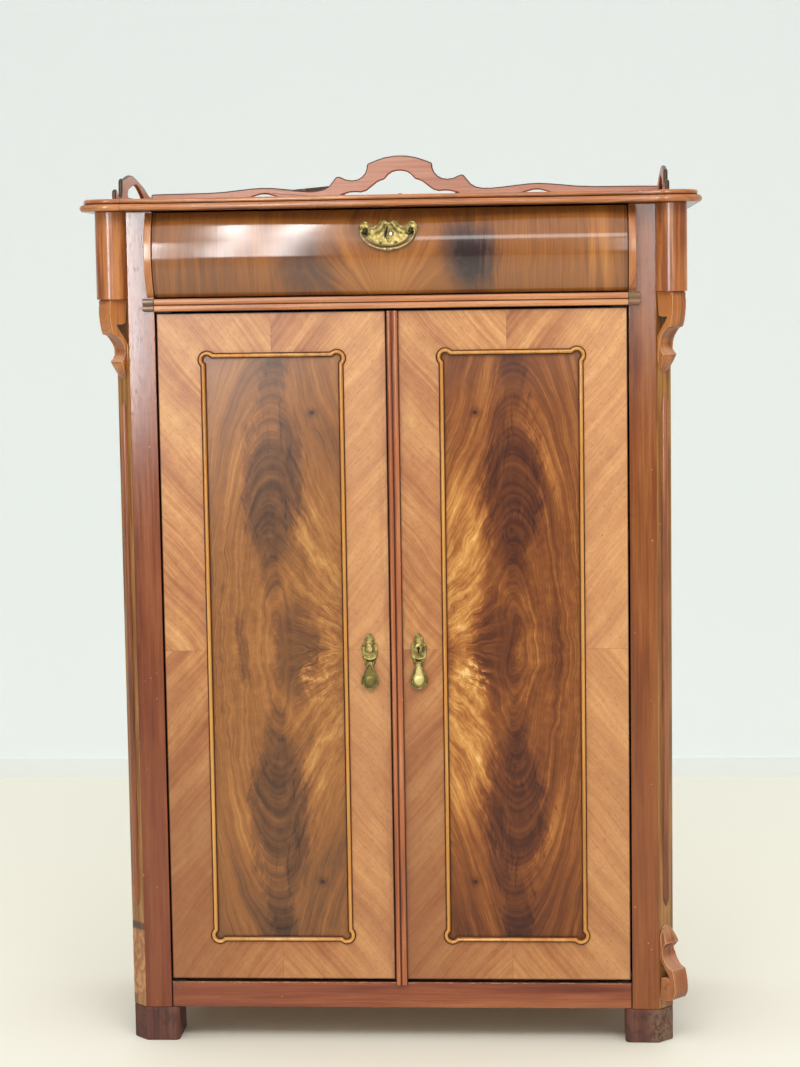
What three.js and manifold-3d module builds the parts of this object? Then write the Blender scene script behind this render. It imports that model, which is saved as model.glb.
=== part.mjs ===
// Parlour cupboard: two doors, one bulged drawer, moulded top with round ears and a fretwork gallery.
// Millimetres, +Z up, the front faces -Y, the floor is at Z = 0.
import * as THREE from "three";
import { mergeVertices } from "three/addons/utils/BufferGeometryUtils.js";
import Module from "manifold-3d";

// Carcase
const bodyWidth = 945;
const bodyDepth = 408;
const topUnderside = 1442.5;
const footHeight = 60;
const footWidth = 83;
const footDepth = 80;
const footCornerRound = 9;
const rearFootWidth = 70;
const postFaceWidth = 46;
const postDepth = 45;
const cantLeg = 25;
const sideBoard = 20;
const backBoard = 12;
const bottomRailHeight = 45.5;
const bottomRailSetback = 2.5;
const bottomRailThickness = 21.5;
const floorAboveRail = 12.5;
const floorThickness = 20;
const shelfThickness = 15;
const shelfSetback = 52;
const lowerShelfShare = 0.3279;
const upperShelfShare = 0.6584;

// Frieze with its rail, reeded moulding and dust board
const friezeHeight = 147.5;
const drawerRailHeight = 22;
const drawerRailSetback = 2;
const railMouldingReach = 9;
const railMouldingGroove = 2.5;
const returnLength = 20;
const dustBoardThickness = 12;
const guideHeight = 28;

// Top board with its ears
const topThickness = 20.5;
const bullnoseHeight = 12;
const bullnoseReach = 5;
const upperEdgeInset = 10;
const upperEdgeReach = 3;
const earRadius = 51;
const frontReachCentre = 45;
const frontReachHollow = 33;
const frontReachEar = 46;
const hollowShare = 0.712;

// Column drums, scroll brackets and bead rods on the canted corners
const drumRadius = 26;
const drumAxisOut = 19;
const bracketThickness = 33;
const bracketHeight = 136;
const lowerBracketRaise = 18;
const lowerBracketHeight = 129;
const rodWidth = 12.5;
const rodGapBelow = 32.4;
const rodGapAbove = 37.5;
const rodPoint = 17;
const rodTipWidth = 1.6;

// Gallery
const galleryThickness = 7.5;
const galleryHeight = 86;
const galleryBackInset = 4;
const galleryBackShort = 1.5;
const galleryMiddleX = -6.5;
const gallerySideHeight = 47.6;
const gallerySideInset = 2;
const gallerySideSetback = 5;

// Doors
const doorBottomGap = 6;
const doorTopGap = 4;
const doorSideGap = 3;
const doorThickness = 22;
const doorSetback = 1;
const meetingX = -8;
const meetingGap = 2;
const doorBottomFrame = 66.5;
const doorTopFrame = 67;
const doorHingeFrame = 73;
const panelMouldingInner = 80.5;
const panelMouldingWidth = 9.5;
const panelMouldingReach = 6;
const earOuterRadius = 16;
const earInset = 11.5;
const panelThickness = 10;
const panelRecess = 1.5;
const stripWidth = 20.5;
const stripReach = 8;
const stripLap = 9;
const stripLeftReed = 8.5;
const stripGroove = 1.2;

// Pivot hinges
const pivotInset = 5.5;
const pivotRadius = 3;
const pivotReach = 10;
const pivotPlateLength = 28;
const pivotPlateDepth = 13.5;
const pivotPlateThickness = 2.2;

// Escutcheons and drop pulls
const leftPullX = -44;
const rightPullX = 40;
const keyholeAboveMiddle = 2.75;
const keyholeRadius = 2.2;
const keySlotWidth = 2.2;
const keySlotDrop = 8;
const escutcheonHalfWidth = 13.9;
const escutcheonHeight = 53.4;
const escutcheonKeyholeShare = 0.528;
const escutcheonThickness = 3;
const bossRadius = 8;
const bossReach = 2;
const dropAxisAboveFoot = 4.1;
const dropAxisOut = 7.3;
const dropHalfWidth = 15.3;
const dropLength = 46.2;
const dropThickness = 4;
const dropPinRadius = 1.5;
const dropBarrelRadius = 2.4;
const lugInner = 5.5;
const lugOuter = 8.5;
const lugRadius = 3;
const neckHalfWidth = 4.6;

// Lock of the right door
const lockCaseReach = 57;
const lockCaseBelowKeyhole = 38;
const lockCaseAboveKeyhole = 32;
const lockCaseDepth = 9.7;
const lockBoltLength = 30;
const lockBoltHeight = 16;
const lockBoltThickness = 5;
const lockBoltTravel = 10;
const lockBoltBelowKeyhole = 12;
const lockBoltCover = 2.2;

// Sliding bolts of the left door
const boltX = -26;
const boltWidth = 8;
const boltThickness = 5;
const boltLength = 120;
const boltTravel = 14;
const boltRest = 4;
const boltCover = 2.5;
const boltKnobWidth = 4;
const boltKnobHeight = 8;
const boltKnobReach = 2;
const boltKnobFromEnd = 15;

// Drawer
const drawerGapBelow = 2;
const drawerGapAbove = 2.5;
const drawerBulge = 25;
const drawerFrontThickness = 20;
const drawerFrontGap = 1.5;
const drawerBoard = 12;
const drawerSideGap = 1;
const drawerSideDrop = 20;
const drawerBottomRaise = 8;
const drawerBottomThickness = 6;
const drawerRearSpace = 20;
const friezeReturnWidth = 12.5;
const drawerBoltWidth = 30;
const drawerBoltThickness = 5;
const drawerBoltHeight = 30;
const drawerBoltSetback = 8;
const drawerBoltTravel = 12;
const drawerMortiseDepth = 48;

// Drawer handle
const plateHalfWidth = 50.8;
const plateHeight = 43;
const plateAboveMiddle = 8.5;
const plateThickness = 2;
const handlePostInset = 12.4;
const handlePostRaise = 26;
const handlePostRadius = 4.5;
const handleAxisOut = 29;
const handlePostPast = 4;
const bailRadius = 1.8;
const bailArmPast = 7.1;
const bailSwell = 1;
const bailDrop = 30.5;
const plateKeyholeRaise = 22.6;

// Clearances
const fitGap = 0.3;
const slideGap = 0.3;
const pinGap = 0.08;
const pocketGap = 0.8;
const floorStopGap = 1.5;
const overcut = 5;
const weldDistance = 1e-4;

// Counts of facets
const drumFacets = 40;
const bulgeFacets = 14;
const boreFacets = 16;
const beadFacets = 6;
const earFacets = 9;
const edgeFacets = 6;
const frontFacets = 30;
const tubeFacets = 8;
const bailFacets = 18;

// The corner scrolls in shares of bracketThickness outwards and of their own height from the roll
const scrollOuterShares = [
  [1.0, 0], [1.04, 0.06], [1.06, 0.14], [1.05, 0.22], [1.01, 0.3], [0.95, 0.37], [0.87, 0.435],
  [0.64, 0.465], [0.44, 0.51], [0.28, 0.57], [0.21, 0.625], [0.22, 0.68], [0.29, 0.73], [0.45, 0.775],
  [0.35, 0.83], [0.2, 0.9], [0.08, 0.96], [0.02, 1],
];
const scrollInnerShares = [
  [0, 0.56], [0.1, 0.52], [0.3, 0.45], [0.5, 0.385], [0.66, 0.33], [0.72, 0.305], [0.35, 0.31], [0, 0.285],
];

// The round start of the lower scroll, in place of the first two corners of the outer shares
const lowerScrollStartShares = [[0.42, 0], [0.7, 0.012], [0.9, 0.045], [1.01, 0.09]];

// The gallery back in shares of its half length from the carving's middle and of galleryHeight, right half
const galleryBackShares = [
  [1, 0], [1, 0.262], [0.938, 0.27], [0.761, 0.277], [0.693, 0.295], [0.64, 0.326], [0.586, 0.353],
  [0.546, 0.365], [0.507, 0.36], [0.463, 0.337], [0.409, 0.305], [0.358, 0.281], [0.324, 0.284],
  [0.299, 0.314], [0.279, 0.377], [0.264, 0.477], [0.252, 0.558], [0.242, 0.579], [0.23, 0.553],
  [0.211, 0.507], [0.188, 0.488], [0.166, 0.507], [0.149, 0.558], [0.136, 0.64], [0.13, 0.728],
  [0.128, 0.833], [0.111, 0.87], [0.087, 0.919], [0.06, 0.965], [0.03, 0.993], [0.011, 1],
];

// Its central opening in the same shares, from the middle top round to the middle bottom
const galleryOpeningShares = [
  [0.009, 0.674], [0.028, 0.651], [0.043, 0.6], [0.052, 0.547], [0.06, 0.495], [0.077, 0.47],
  [0.09, 0.435], [0.109, 0.353], [0.132, 0.258], [0.154, 0.228], [0.175, 0.237], [0.198, 0.23],
  [0.222, 0.193], [0.192, 0.14], [0.145, 0.112], [0.094, 0.102], [0.043, 0.114], [0.017, 0.149],
  [0.005, 0.198],
];

// Its lens-shaped openings in the same shares, about their own middles
const lensMiddleShare = 0.537;
const lensShares = [
  [-0.09, 0.121], [-0.051, 0.112], [0, 0.107], [0.051, 0.112], [0.09, 0.121], [0.06, 0.149],
  [0.034, 0.191], [0.013, 0.221], [-0.013, 0.221], [-0.034, 0.191], [-0.06, 0.149],
];

// The gallery sides in shares of their length from the front end and of gallerySideHeight
const gallerySideShares = [
  [0, 0], [0, 0.286], [0.008, 0.353], [0.023, 0.378], [0.041, 0.324], [0.056, 0.189], [0.077, 0.113],
  [0.113, 0.105], [0.143, 0.155], [0.156, 0.336], [0.159, 0.609], [0.164, 0.756], [0.179, 0.811],
  [0.215, 0.803], [0.253, 0.849], [0.292, 0.916], [0.338, 0.975], [0.381, 1], [0.453, 0.992],
  [0.524, 0.924], [0.578, 0.845], [0.632, 0.773], [0.688, 0.714], [0.742, 0.622], [0.798, 0.504],
  [0.859, 0.378], [0.926, 0.336], [1, 0.345], [1, 0],
];
const sideOpeningShares = [
  [0.302, 0.168], [0.67, 0.168], [0.706, 0.223], [0.691, 0.286], [0.634, 0.454], [0.573, 0.601],
  [0.512, 0.672], [0.455, 0.643], [0.399, 0.563], [0.343, 0.479], [0.312, 0.42], [0.297, 0.273],
];

// The handle plate in shares of plateHalfWidth and plateHeight, right half
const plateShares = [
  [0, 0], [0.256, 0.033], [0.472, 0.13], [0.64, 0.256], [0.748, 0.377], [0.866, 0.456], [0.969, 0.563],
  [1, 0.702], [0.953, 0.86], [0.856, 0.953], [0.758, 0.972], [0.661, 0.916], [0.594, 0.8],
  [0.522, 0.749], [0.413, 0.795], [0.325, 0.898], [0.236, 0.984], [0.138, 1], [0.059, 0.967],
];

// An escutcheon in shares of escutcheonHalfWidth and escutcheonHeight, right half
const escutcheonShares = [
  [0, 0], [0.59, 0], [0.719, 0.105], [0.921, 0.268], [1, 0.434], [1, 0.596], [0.885, 0.682],
  [0.504, 0.715], [0.619, 0.772], [0.604, 0.839], [0.374, 0.903], [0.317, 0.966], [0.173, 1],
];

// A drop pull in shares of dropHalfWidth and of dropLength below its pivot, right half
const dropShares = [
  [0.379, 0.152], [0.621, 0.325], [0.863, 0.506], [1, 0.684], [0.98, 0.814], [0.745, 0.922],
  [0.392, 0.983],
];

const wasm = await Module();
wasm.setup();

// Derived positions across and in depth
const halfBody = bodyWidth / 2;
const earAxisX = halfBody - cantLeg / 2 + drumAxisOut * Math.SQRT1_2;
const earAxisForward = drumAxisOut * Math.SQRT1_2 - cantLeg / 2;
const totalDepth = bodyDepth + earAxisForward + earRadius;
const backY = totalDepth / 2;
const frontY = backY - bodyDepth;
const earAxisY = frontY - earAxisForward;
const halfOpening = halfBody - cantLeg - postFaceWidth;
const postRearY = frontY + postDepth;
const innerSideX = halfBody - sideBoard;
const backPanelY = backY - backBoard;
const doorFrontY = frontY + doorSetback;
const doorRearY = doorFrontY + doorThickness;
const doorOuterX = halfOpening - doorSideGap;
const leftMeetingX = meetingX - meetingGap / 2;
const rightMeetingX = meetingX + meetingGap / 2;
const panelMouldingOuter = doorOuterX - doorHingeFrame;
const pivotX = doorOuterX - pivotInset;
const pivotY = doorFrontY + pivotInset;
const gallerySideX = halfBody - gallerySideInset;
const galleryHalfLength = gallerySideX - galleryBackShort;
const handlePostX = plateHalfWidth - handlePostInset;
const bailArmX = handlePostX + bailArmPast;
const bailHalfWidth = bailArmX + bailSwell;
const handleAxisY = frontY - handleAxisOut;
const dropAxisY = doorFrontY - dropAxisOut;

// Derived heights
const topTop = topUnderside + topThickness;
const drawerRailTop = topUnderside - friezeHeight;
const drawerRailBottom = drawerRailTop - drawerRailHeight;
const bottomRailTop = footHeight + bottomRailHeight;
const floorTop = bottomRailTop + floorAboveRail;
const insideHeight = drawerRailTop - dustBoardThickness - floorTop;
const lowerShelfTop = floorTop + lowerShelfShare * insideHeight;
const upperShelfTop = floorTop + upperShelfShare * insideHeight;
const doorBottom = bottomRailTop + doorBottomGap;
const doorTop = drawerRailBottom - doorTopGap;
const panelMouldingBottom = doorBottom + doorBottomFrame;
const panelMouldingTop = doorTop - doorTopFrame;
const lowerBracketFoot = footHeight + lowerBracketRaise;
const rodBottom = lowerBracketFoot + lowerBracketHeight + rodGapBelow;
const rodTop = drawerRailTop - bracketHeight - rodGapAbove;
const keyholeZ = (doorBottom + doorTop) / 2 + keyholeAboveMiddle;
const escutcheonFoot = keyholeZ - escutcheonKeyholeShare * escutcheonHeight;
const dropAxisZ = escutcheonFoot + dropAxisAboveFoot;
const lockCaseBottom = keyholeZ - lockCaseBelowKeyhole;
const lockCaseTop = keyholeZ + lockCaseAboveKeyhole;
const lockBoltBottom = keyholeZ - lockBoltBelowKeyhole;
const drawerFrontBottom = drawerRailTop + drawerGapBelow;
const drawerFrontTop = topUnderside - drawerGapAbove;
const drawerSideTop = drawerFrontTop - drawerSideDrop;
const drawerMortiseBottom = drawerFrontTop - drawerMortiseDepth;
const bulgeChord = drawerFrontTop - drawerFrontBottom;
const bulgeRadius = drawerBulge / 2 + (bulgeChord * bulgeChord) / (8 * drawerBulge);
const bulgeAxisY = frontY - drawerBulge + bulgeRadius;
const bulgeAxisZ = (drawerFrontBottom + drawerFrontTop) / 2;
const plateBottom = bulgeAxisZ + plateAboveMiddle;
const handlePostZ = plateBottom + handlePostRaise;
const drawerKeyholeZ = plateBottom + plateKeyholeRaise;

// Turns the faces of a closed surface outwards and joins equal corners
function finish(geometry) {
  geometry.deleteAttribute("normal");
  geometry.deleteAttribute("uv");
  const merged = mergeVertices(geometry, weldDistance);
  const position = merged.getAttribute("position");
  const index = merged.getIndex().array;
  const a = new THREE.Vector3();
  const b = new THREE.Vector3();
  const c = new THREE.Vector3();
  let volume = 0;
  for (let face = 0; face < index.length; face += 3) {
    a.fromBufferAttribute(position, index[face]);
    b.fromBufferAttribute(position, index[face + 1]);
    c.fromBufferAttribute(position, index[face + 2]);
    volume += a.dot(b.cross(c));
  }
  if (volume < 0) {
    for (let face = 0; face < index.length; face += 3) {
      const kept = index[face];
      index[face] = index[face + 1];
      index[face + 1] = kept;
    }
  }
  merged.computeVertexNormals();
  return merged;
}

// A block between two corners
function block(x0, x1, y0, y1, z0, z1) {
  const geometry = new THREE.BoxGeometry(x1 - x0, y1 - y0, z1 - z0);
  geometry.translate((x0 + x1) / 2, (y0 + y1) / 2, (z0 + z1) / 2);
  return finish(geometry);
}

// An outline swept straight, with place() turning outline and depth into a point
function prism(outline, holes, from, to, place) {
  const shape = new THREE.Shape(outline.map(([u, v]) => new THREE.Vector2(u, v)));
  for (const hole of holes) {
    shape.holes.push(new THREE.Path(hole.map(([u, v]) => new THREE.Vector2(u, v))));
  }
  const geometry = new THREE.ExtrudeGeometry(shape, { depth: to - from, bevelEnabled: false, steps: 1 });
  const position = geometry.getAttribute("position");
  for (let i = 0; i < position.count; i += 1) {
    const point = place(position.getX(i), position.getY(i), position.getZ(i) + from);
    position.setXYZ(i, point[0], point[1], point[2]);
  }
  return finish(geometry);
}

function prismX(outline, from, to, holes = []) {
  return prism(outline, holes, from, to, (u, v, w) => [w, u, v]);
}

function prismY(outline, from, to, holes = []) {
  return prism(outline, holes, from, to, (u, v, w) => [u, w, v]);
}

function prismZ(outline, from, to, holes = []) {
  return prism(outline, holes, from, to, (u, v, w) => [u, v, w]);
}

// A surface through rings of points, each ring closed, with flat caps on the first and last ring
function loft(rings, capOutline) {
  const count = rings[0].length;
  const points = rings.flat(2);
  const index = [];
  for (let ring = 0; ring + 1 < rings.length; ring += 1) {
    for (let i = 0; i < count; i += 1) {
      const j = (i + 1) % count;
      const low = ring * count;
      const high = low + count;
      index.push(low + i, low + j, high + j, low + i, high + j, high + i);
    }
  }
  const last = (rings.length - 1) * count;
  const flatFirst = capOutline(rings[0]);
  const flatLast = capOutline(rings[rings.length - 1]);
  for (const [a, b, c] of THREE.ShapeUtils.triangulateShape(flatFirst, [])) {
    index.push(a, c, b);
  }
  for (const [a, b, c] of THREE.ShapeUtils.triangulateShape(flatLast, [])) {
    index.push(last + a, last + b, last + c);
  }
  const geometry = new THREE.BufferGeometry();
  geometry.setAttribute("position", new THREE.Float32BufferAttribute(points, 3));
  geometry.setIndex(index);
  return finish(geometry);
}

// A point's outward corner direction on an outline in which the inside lies to the left
function cornerDirection(before, at, after) {
  const inX = at[0] - before[0];
  const inY = at[1] - before[1];
  const outX = after[0] - at[0];
  const outY = after[1] - at[1];
  const inLength = Math.hypot(inX, inY);
  const outLength = Math.hypot(outX, outY);
  const normalX = inY / inLength + outY / outLength;
  const normalY = -inX / inLength - outX / outLength;
  const scale = 2 / (normalX * normalX + normalY * normalY);
  return [normalX * scale, normalY * scale];
}

// Moves every point of a closed outline outwards by a distance
function grow(outline, distance) {
  return outline.map((point, i) => {
    const before = outline[(i + outline.length - 1) % outline.length];
    const after = outline[(i + 1) % outline.length];
    const direction = cornerDirection(before, point, after);
    return [point[0] + direction[0] * distance, point[1] + direction[1] * distance];
  });
}

// A profile of (outward, forward) points carried round a closed outline that stands in the XZ plane
function ringMoulding(outline, profile, baseY) {
  const rings = profile.map(([outward, forward]) =>
    grow(outline, outward).map(([x, z]) => [x, baseY - forward, z]));
  const count = outline.length;
  const index = [];
  for (let ring = 0; ring < rings.length; ring += 1) {
    const next = (ring + 1) % rings.length;
    for (let i = 0; i < count; i += 1) {
      const j = (i + 1) % count;
      const a = ring * count + i;
      const b = ring * count + j;
      const c = next * count + j;
      const d = next * count + i;
      index.push(a, b, c, a, c, d);
    }
  }
  const geometry = new THREE.BufferGeometry();
  geometry.setAttribute("position", new THREE.Float32BufferAttribute(rings.flat(2), 3));
  geometry.setIndex(index);
  return finish(geometry);
}

// A round bar along an open path in an XZ plane
function roundBar(path, radius, planeY) {
  const rings = path.map((point, i) => {
    const before = path[Math.max(i - 1, 0)];
    const after = path[Math.min(i + 1, path.length - 1)];
    const start = i === 0 ? [2 * point[0] - after[0], 2 * point[1] - after[1]] : before;
    const end = i === path.length - 1 ? [2 * point[0] - before[0], 2 * point[1] - before[1]] : after;
    const side = cornerDirection(start, point, end);
    const ring = [];
    for (let facet = 0; facet < tubeFacets; facet += 1) {
      const angle = (2 * Math.PI * facet) / tubeFacets;
      const across = radius * Math.cos(angle);
      const y = planeY + radius * Math.sin(angle);
      ring.push([point[0] + side[0] * across, y, point[1] + side[1] * across]);
    }
    return ring;
  });
  const cap = (ring) => ring.map((p, i) => {
    const angle = (2 * Math.PI * i) / tubeFacets;
    return new THREE.Vector2(Math.cos(angle), Math.sin(angle));
  });
  return loft(rings, cap);
}

function cylinder(radius, from, to, facets, place) {
  const outline = [];
  for (let i = 0; i < facets; i += 1) {
    const angle = (2 * Math.PI * (i + 0.5)) / facets;
    outline.push([radius * Math.cos(angle), radius * Math.sin(angle)]);
  }
  return prism(outline, [], from, to, place);
}

function cylinderX(radius, from, to, y, z) {
  return cylinder(radius, from, to, boreFacets, (u, v, w) => [w, y + u, z + v]);
}

function cylinderY(radius, from, to, x, z) {
  return cylinder(radius, from, to, boreFacets, (u, v, w) => [x + u, w, z + v]);
}

function cylinderZ(radius, from, to, x, y) {
  return cylinder(radius, from, to, boreFacets, (u, v, w) => [x + u, y + v, w]);
}

function toSolid(geometry) {
  const position = new Float32Array(geometry.getAttribute("position").array);
  const index = new Uint32Array(geometry.getIndex().array);
  return new wasm.Manifold(new wasm.Mesh({ numProp: 3, vertProperties: position, triVerts: index }));
}

function fromSolid(solid) {
  const mesh = solid.getMesh();
  const geometry = new THREE.BufferGeometry();
  const points = [];
  for (let i = 0; i < mesh.vertProperties.length; i += mesh.numProp) {
    points.push(mesh.vertProperties[i], mesh.vertProperties[i + 1], mesh.vertProperties[i + 2]);
  }
  geometry.setAttribute("position", new THREE.Float32BufferAttribute(points, 3));
  geometry.setIndex(Array.from(mesh.triVerts));
  return finish(geometry);
}

function cut(base, ...tools) {
  return fromSolid(tools.reduce((solid, tool) => solid.subtract(toSolid(tool)), toSolid(base)));
}

function join(base, ...others) {
  return fromSolid(others.reduce((solid, other) => solid.add(toSolid(other)), toSolid(base)));
}

function mirrored(geometry) {
  const copy = geometry.clone();
  copy.scale(-1, 1, 1);
  return finish(copy);
}

function mirrorOutline(half) {
  const other = half.filter(([x]) => x !== 0).map(([x, z]) => [-x, z]).reverse();
  return [...half, ...other];
}

// Carcase boards

function sidePanel() {
  return block(innerSideX, halfBody, postRearY + fitGap, backY, footHeight, topUnderside - fitGap);
}

function frontPost() {
  const outline = [
    [halfOpening, frontY],
    [halfBody - cantLeg, frontY],
    [halfBody, frontY + cantLeg],
    [halfBody, postRearY],
    [halfOpening, postRearY],
  ];
  return prismZ(outline, footHeight, topUnderside - fitGap);
}

function backPanel() {
  const reach = innerSideX - fitGap;
  return block(-reach, reach, backPanelY, backY, footHeight, topUnderside - fitGap);
}

function floorBoard() {
  const narrow = halfOpening - fitGap;
  const wide = innerSideX - fitGap;
  const front = doorRearY + floorStopGap;
  const outline = [
    [-narrow, front], [narrow, front], [narrow, postRearY + fitGap], [wide, postRearY + fitGap],
    [wide, backPanelY - fitGap], [-wide, backPanelY - fitGap], [-wide, postRearY + fitGap],
    [-narrow, postRearY + fitGap],
  ];
  return prismZ(outline, floorTop - floorThickness, floorTop);
}

function bottomFrontRail() {
  const reach = halfOpening - fitGap;
  const front = frontY + bottomRailSetback;
  const rail = block(-reach, reach, front, front + bottomRailThickness, footHeight, bottomRailTop);
  const depth = doorBottom + boltRest - boltTravel - pocketGap;
  return cut(rail, boltPocket(depth, bottomRailTop + overcut));
}

// The hole that a sliding bolt of the left door enters
function boltPocket(from, to) {
  const half = boltWidth / 2 + pocketGap;
  const rear = doorRearY - boltCover + pocketGap;
  const front = doorRearY - boltCover - boltThickness - pocketGap;
  return block(boltX - half, boltX + half, front, rear, from, to);
}

function drawerRail() {
  const reach = halfOpening - fitGap;
  const rail = block(-reach, reach, frontY + drawerRailSetback, postRearY, drawerRailBottom, drawerRailTop);
  const depth = doorTop - boltRest + boltTravel + pocketGap;
  return cut(rail, boltPocket(drawerRailBottom - overcut, depth));
}

// Two reeds one above the other, as (distance in front of the posts, height) from bottom to top
function reeds() {
  const half = (drawerRailTop - drawerRailBottom) / 2;
  const groove = railMouldingReach - railMouldingGroove;
  const points = [];
  for (let reed = 0; reed < 2; reed += 1) {
    for (let i = reed; i <= edgeFacets; i += 1) {
      const angle = Math.PI * (i / edgeFacets - 0.5);
      const height = half * (reed + 0.5 + 0.5 * Math.sin(angle));
      points.push([groove + railMouldingGroove * Math.cos(angle), drawerRailBottom + height]);
    }
  }
  return points;
}

// The moulding's section from the flat rear face at a given depth
function reededSection(rear) {
  const front = reeds().map(([out, z]) => [frontY - out, z]);
  return [[rear, drawerRailBottom], ...front, [rear, drawerRailTop]];
}

function railMoulding() {
  const reach = halfOpening - fitGap;
  return prismX(reededSection(frontY + drawerRailSetback - fitGap), -reach, reach);
}

// The moulding's return on a post: its outer end is reeded like its front
function mouldingReturn() {
  const rear = frontY - fitGap;
  const outer = halfOpening + returnLength;
  const bar = prismX(reededSection(rear), halfOpening, outer);
  const inner = halfOpening - overcut;
  const reededEnd = reeds().map(([out, z]) => [outer - railMouldingReach + out, z]);
  const endOutline = [[inner, drawerRailBottom], ...reededEnd, [inner, drawerRailTop]];
  const end = prismY(endOutline, frontY - railMouldingReach - overcut, rear + overcut);
  return fromSolid(toSolid(bar).intersect(toSolid(end)));
}

function dustBoard() {
  const reach = innerSideX - fitGap;
  const bottom = drawerRailTop - dustBoardThickness;
  return block(-reach, reach, postRearY + fitGap, backPanelY - fitGap, bottom, drawerRailTop);
}

function drawerGuide() {
  const outer = innerSideX - fitGap;
  const bottom = drawerRailTop + fitGap;
  return block(halfOpening, outer, postRearY + fitGap, backPanelY - fitGap, bottom, bottom + guideHeight);
}

function shelf(top) {
  const reach = innerSideX - fitGap;
  return block(-reach, reach, frontY + shelfSetback, backPanelY - fitGap, top - shelfThickness, top);
}

// Feet

function frontFoot() {
  const inner = halfBody - footWidth;
  const outer = halfBody - fitGap;
  const front = frontY + fitGap;
  const rear = front + footDepth;
  const outline = [[outer - cantLeg, front], [outer, front + cantLeg], [outer, rear], [inner, rear]];
  for (let i = 0; i <= edgeFacets; i += 1) {
    const angle = Math.PI + (Math.PI / 2) * (i / edgeFacets);
    outline.push([
      inner + footCornerRound * (1 + Math.cos(angle)),
      front + footCornerRound * (1 + Math.sin(angle)),
    ]);
  }
  return prismZ(outline, 0, footHeight - fitGap);
}

function rearFoot() {
  const outer = halfBody - fitGap;
  const rear = backY - fitGap;
  return block(outer - rearFootWidth, outer, rear - rearFootWidth, rear, 0, footHeight - fitGap);
}

// Top board

function frontReach(x) {
  const distance = Math.abs(x);
  const hollowX = hollowShare * earMitreX();
  if (distance < hollowX) {
    const swing = (frontReachCentre - frontReachHollow) / 2;
    return frontReachHollow + swing * (1 + Math.cos((Math.PI * distance) / hollowX));
  }
  const share = (distance - hollowX) / (earMitreX() - hollowX);
  return frontReachHollow + (frontReachEar - frontReachHollow) * (1 - Math.cos((Math.PI / 2) * share));
}

function earMitreX() {
  const forward = frontReachEar - earAxisForward;
  return earAxisX - Math.sqrt(earRadius * earRadius - forward * forward);
}

// Plan of the top board, inside to the left
function topOutline() {
  const sideX = earAxisX + earRadius;
  const mitreAngle = Math.atan2(-(frontReachEar - earAxisForward), earMitreX() - earAxisX);
  const outline = [];
  for (let i = 0; i <= frontFacets; i += 1) {
    const x = earMitreX() * ((2 * i) / frontFacets - 1);
    outline.push([x, frontY - frontReach(x)]);
  }
  const earSteps = 2 * earFacets;
  for (let i = 1; i <= earSteps; i += 1) {
    const angle = mitreAngle * (1 - i / earSteps);
    outline.push([earAxisX + earRadius * Math.cos(angle), earAxisY + earRadius * Math.sin(angle)]);
  }
  outline.push([sideX, backY], [-sideX, backY]);
  for (let i = 0; i < earSteps; i += 1) {
    const angle = (mitreAngle * i) / earSteps;
    outline.push([-earAxisX - earRadius * Math.cos(angle), earAxisY + earRadius * Math.sin(angle)]);
  }
  return outline;
}

// The moulded edge as (inset, height above the underside)
function topEdge() {
  const points = [];
  for (let i = 0; i <= edgeFacets; i += 1) {
    const angle = Math.PI * (i / edgeFacets - 0.5);
    points.push([bullnoseReach * (1 - Math.cos(angle)), (bullnoseHeight / 2) * (1 + Math.sin(angle))]);
  }
  const upperHalf = (topThickness - bullnoseHeight) / 2;
  for (let i = 0; i <= edgeFacets; i += 1) {
    const angle = Math.PI * (i / edgeFacets - 0.5);
    const inset = upperEdgeInset - upperEdgeReach * Math.cos(angle);
    points.push([inset, bullnoseHeight + upperHalf * (1 + Math.sin(angle))]);
  }
  return points;
}

// The plan drawn in by an inset at the front and the ends, with its rear edge left in place
function insetPlan(outline, inset) {
  return grow(outline, -inset).map(([x, y], i) => [x, outline[i][1] === backY ? backY : y]);
}

function topBoard() {
  const outline = topOutline();
  const rings = topEdge().map(([inset, height]) =>
    insetPlan(outline, inset).map(([x, y]) => [x, y, topUnderside + height]));
  const board = loft(rings, (ring) => ring.map(([x, y]) => new THREE.Vector2(x, y)));
  const half = drawerBoltWidth / 2 + pocketGap;
  const front = frontY + drawerBoltSetback - pocketGap;
  const rear = frontY + drawerBoltSetback + drawerBoltThickness + pocketGap;
  const pocketTop = drawerFrontTop - slideGap + drawerBoltTravel + pocketGap;
  return cut(board, block(-half, half, front, rear, topUnderside - overcut, pocketTop));
}

// Column drums, brackets and rods

function columnDrum() {
  const half = Math.acos((drumAxisOut - fitGap) / drumRadius);
  const outline = [];
  for (let i = 0; i <= drumFacets; i += 1) {
    const angle = 3 * Math.PI / 4 + half + ((2 * Math.PI - 2 * half) * i) / drumFacets;
    outline.push([earAxisX + drumRadius * Math.cos(angle), earAxisY + drumRadius * Math.sin(angle)]);
  }
  return prismZ(outline, drawerRailTop, topUnderside - fitGap);
}

// Turns (along the canted face, out of it, up) into a point on the right canted corner
function onCant(along, out, up) {
  const middleX = halfBody - cantLeg / 2;
  const middleY = frontY + cantLeg / 2;
  return [middleX + (along + out) * Math.SQRT1_2, middleY + (along - out) * Math.SQRT1_2, up];
}

// A scroll's side view as (out of the canted face, height), its roll at one end and its leaf at the other
function bracketOutline(outerShares, height, lift) {
  const place = ([out, along]) => [fitGap + out * bracketThickness, lift(along * height)];
  return [place([0, 0]), ...outerShares.map(place), place([0, 1]), ...scrollInnerShares.map(place)];
}

function bracket(outline) {
  const half = bracketThickness / 2;
  return prism(outline, [], -half, half, (out, height, along) => onCant(along, out, height));
}

function upperBracket() {
  const top = drawerRailTop - fitGap;
  return bracket(bracketOutline(scrollOuterShares, bracketHeight, (down) => top - down));
}

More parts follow.
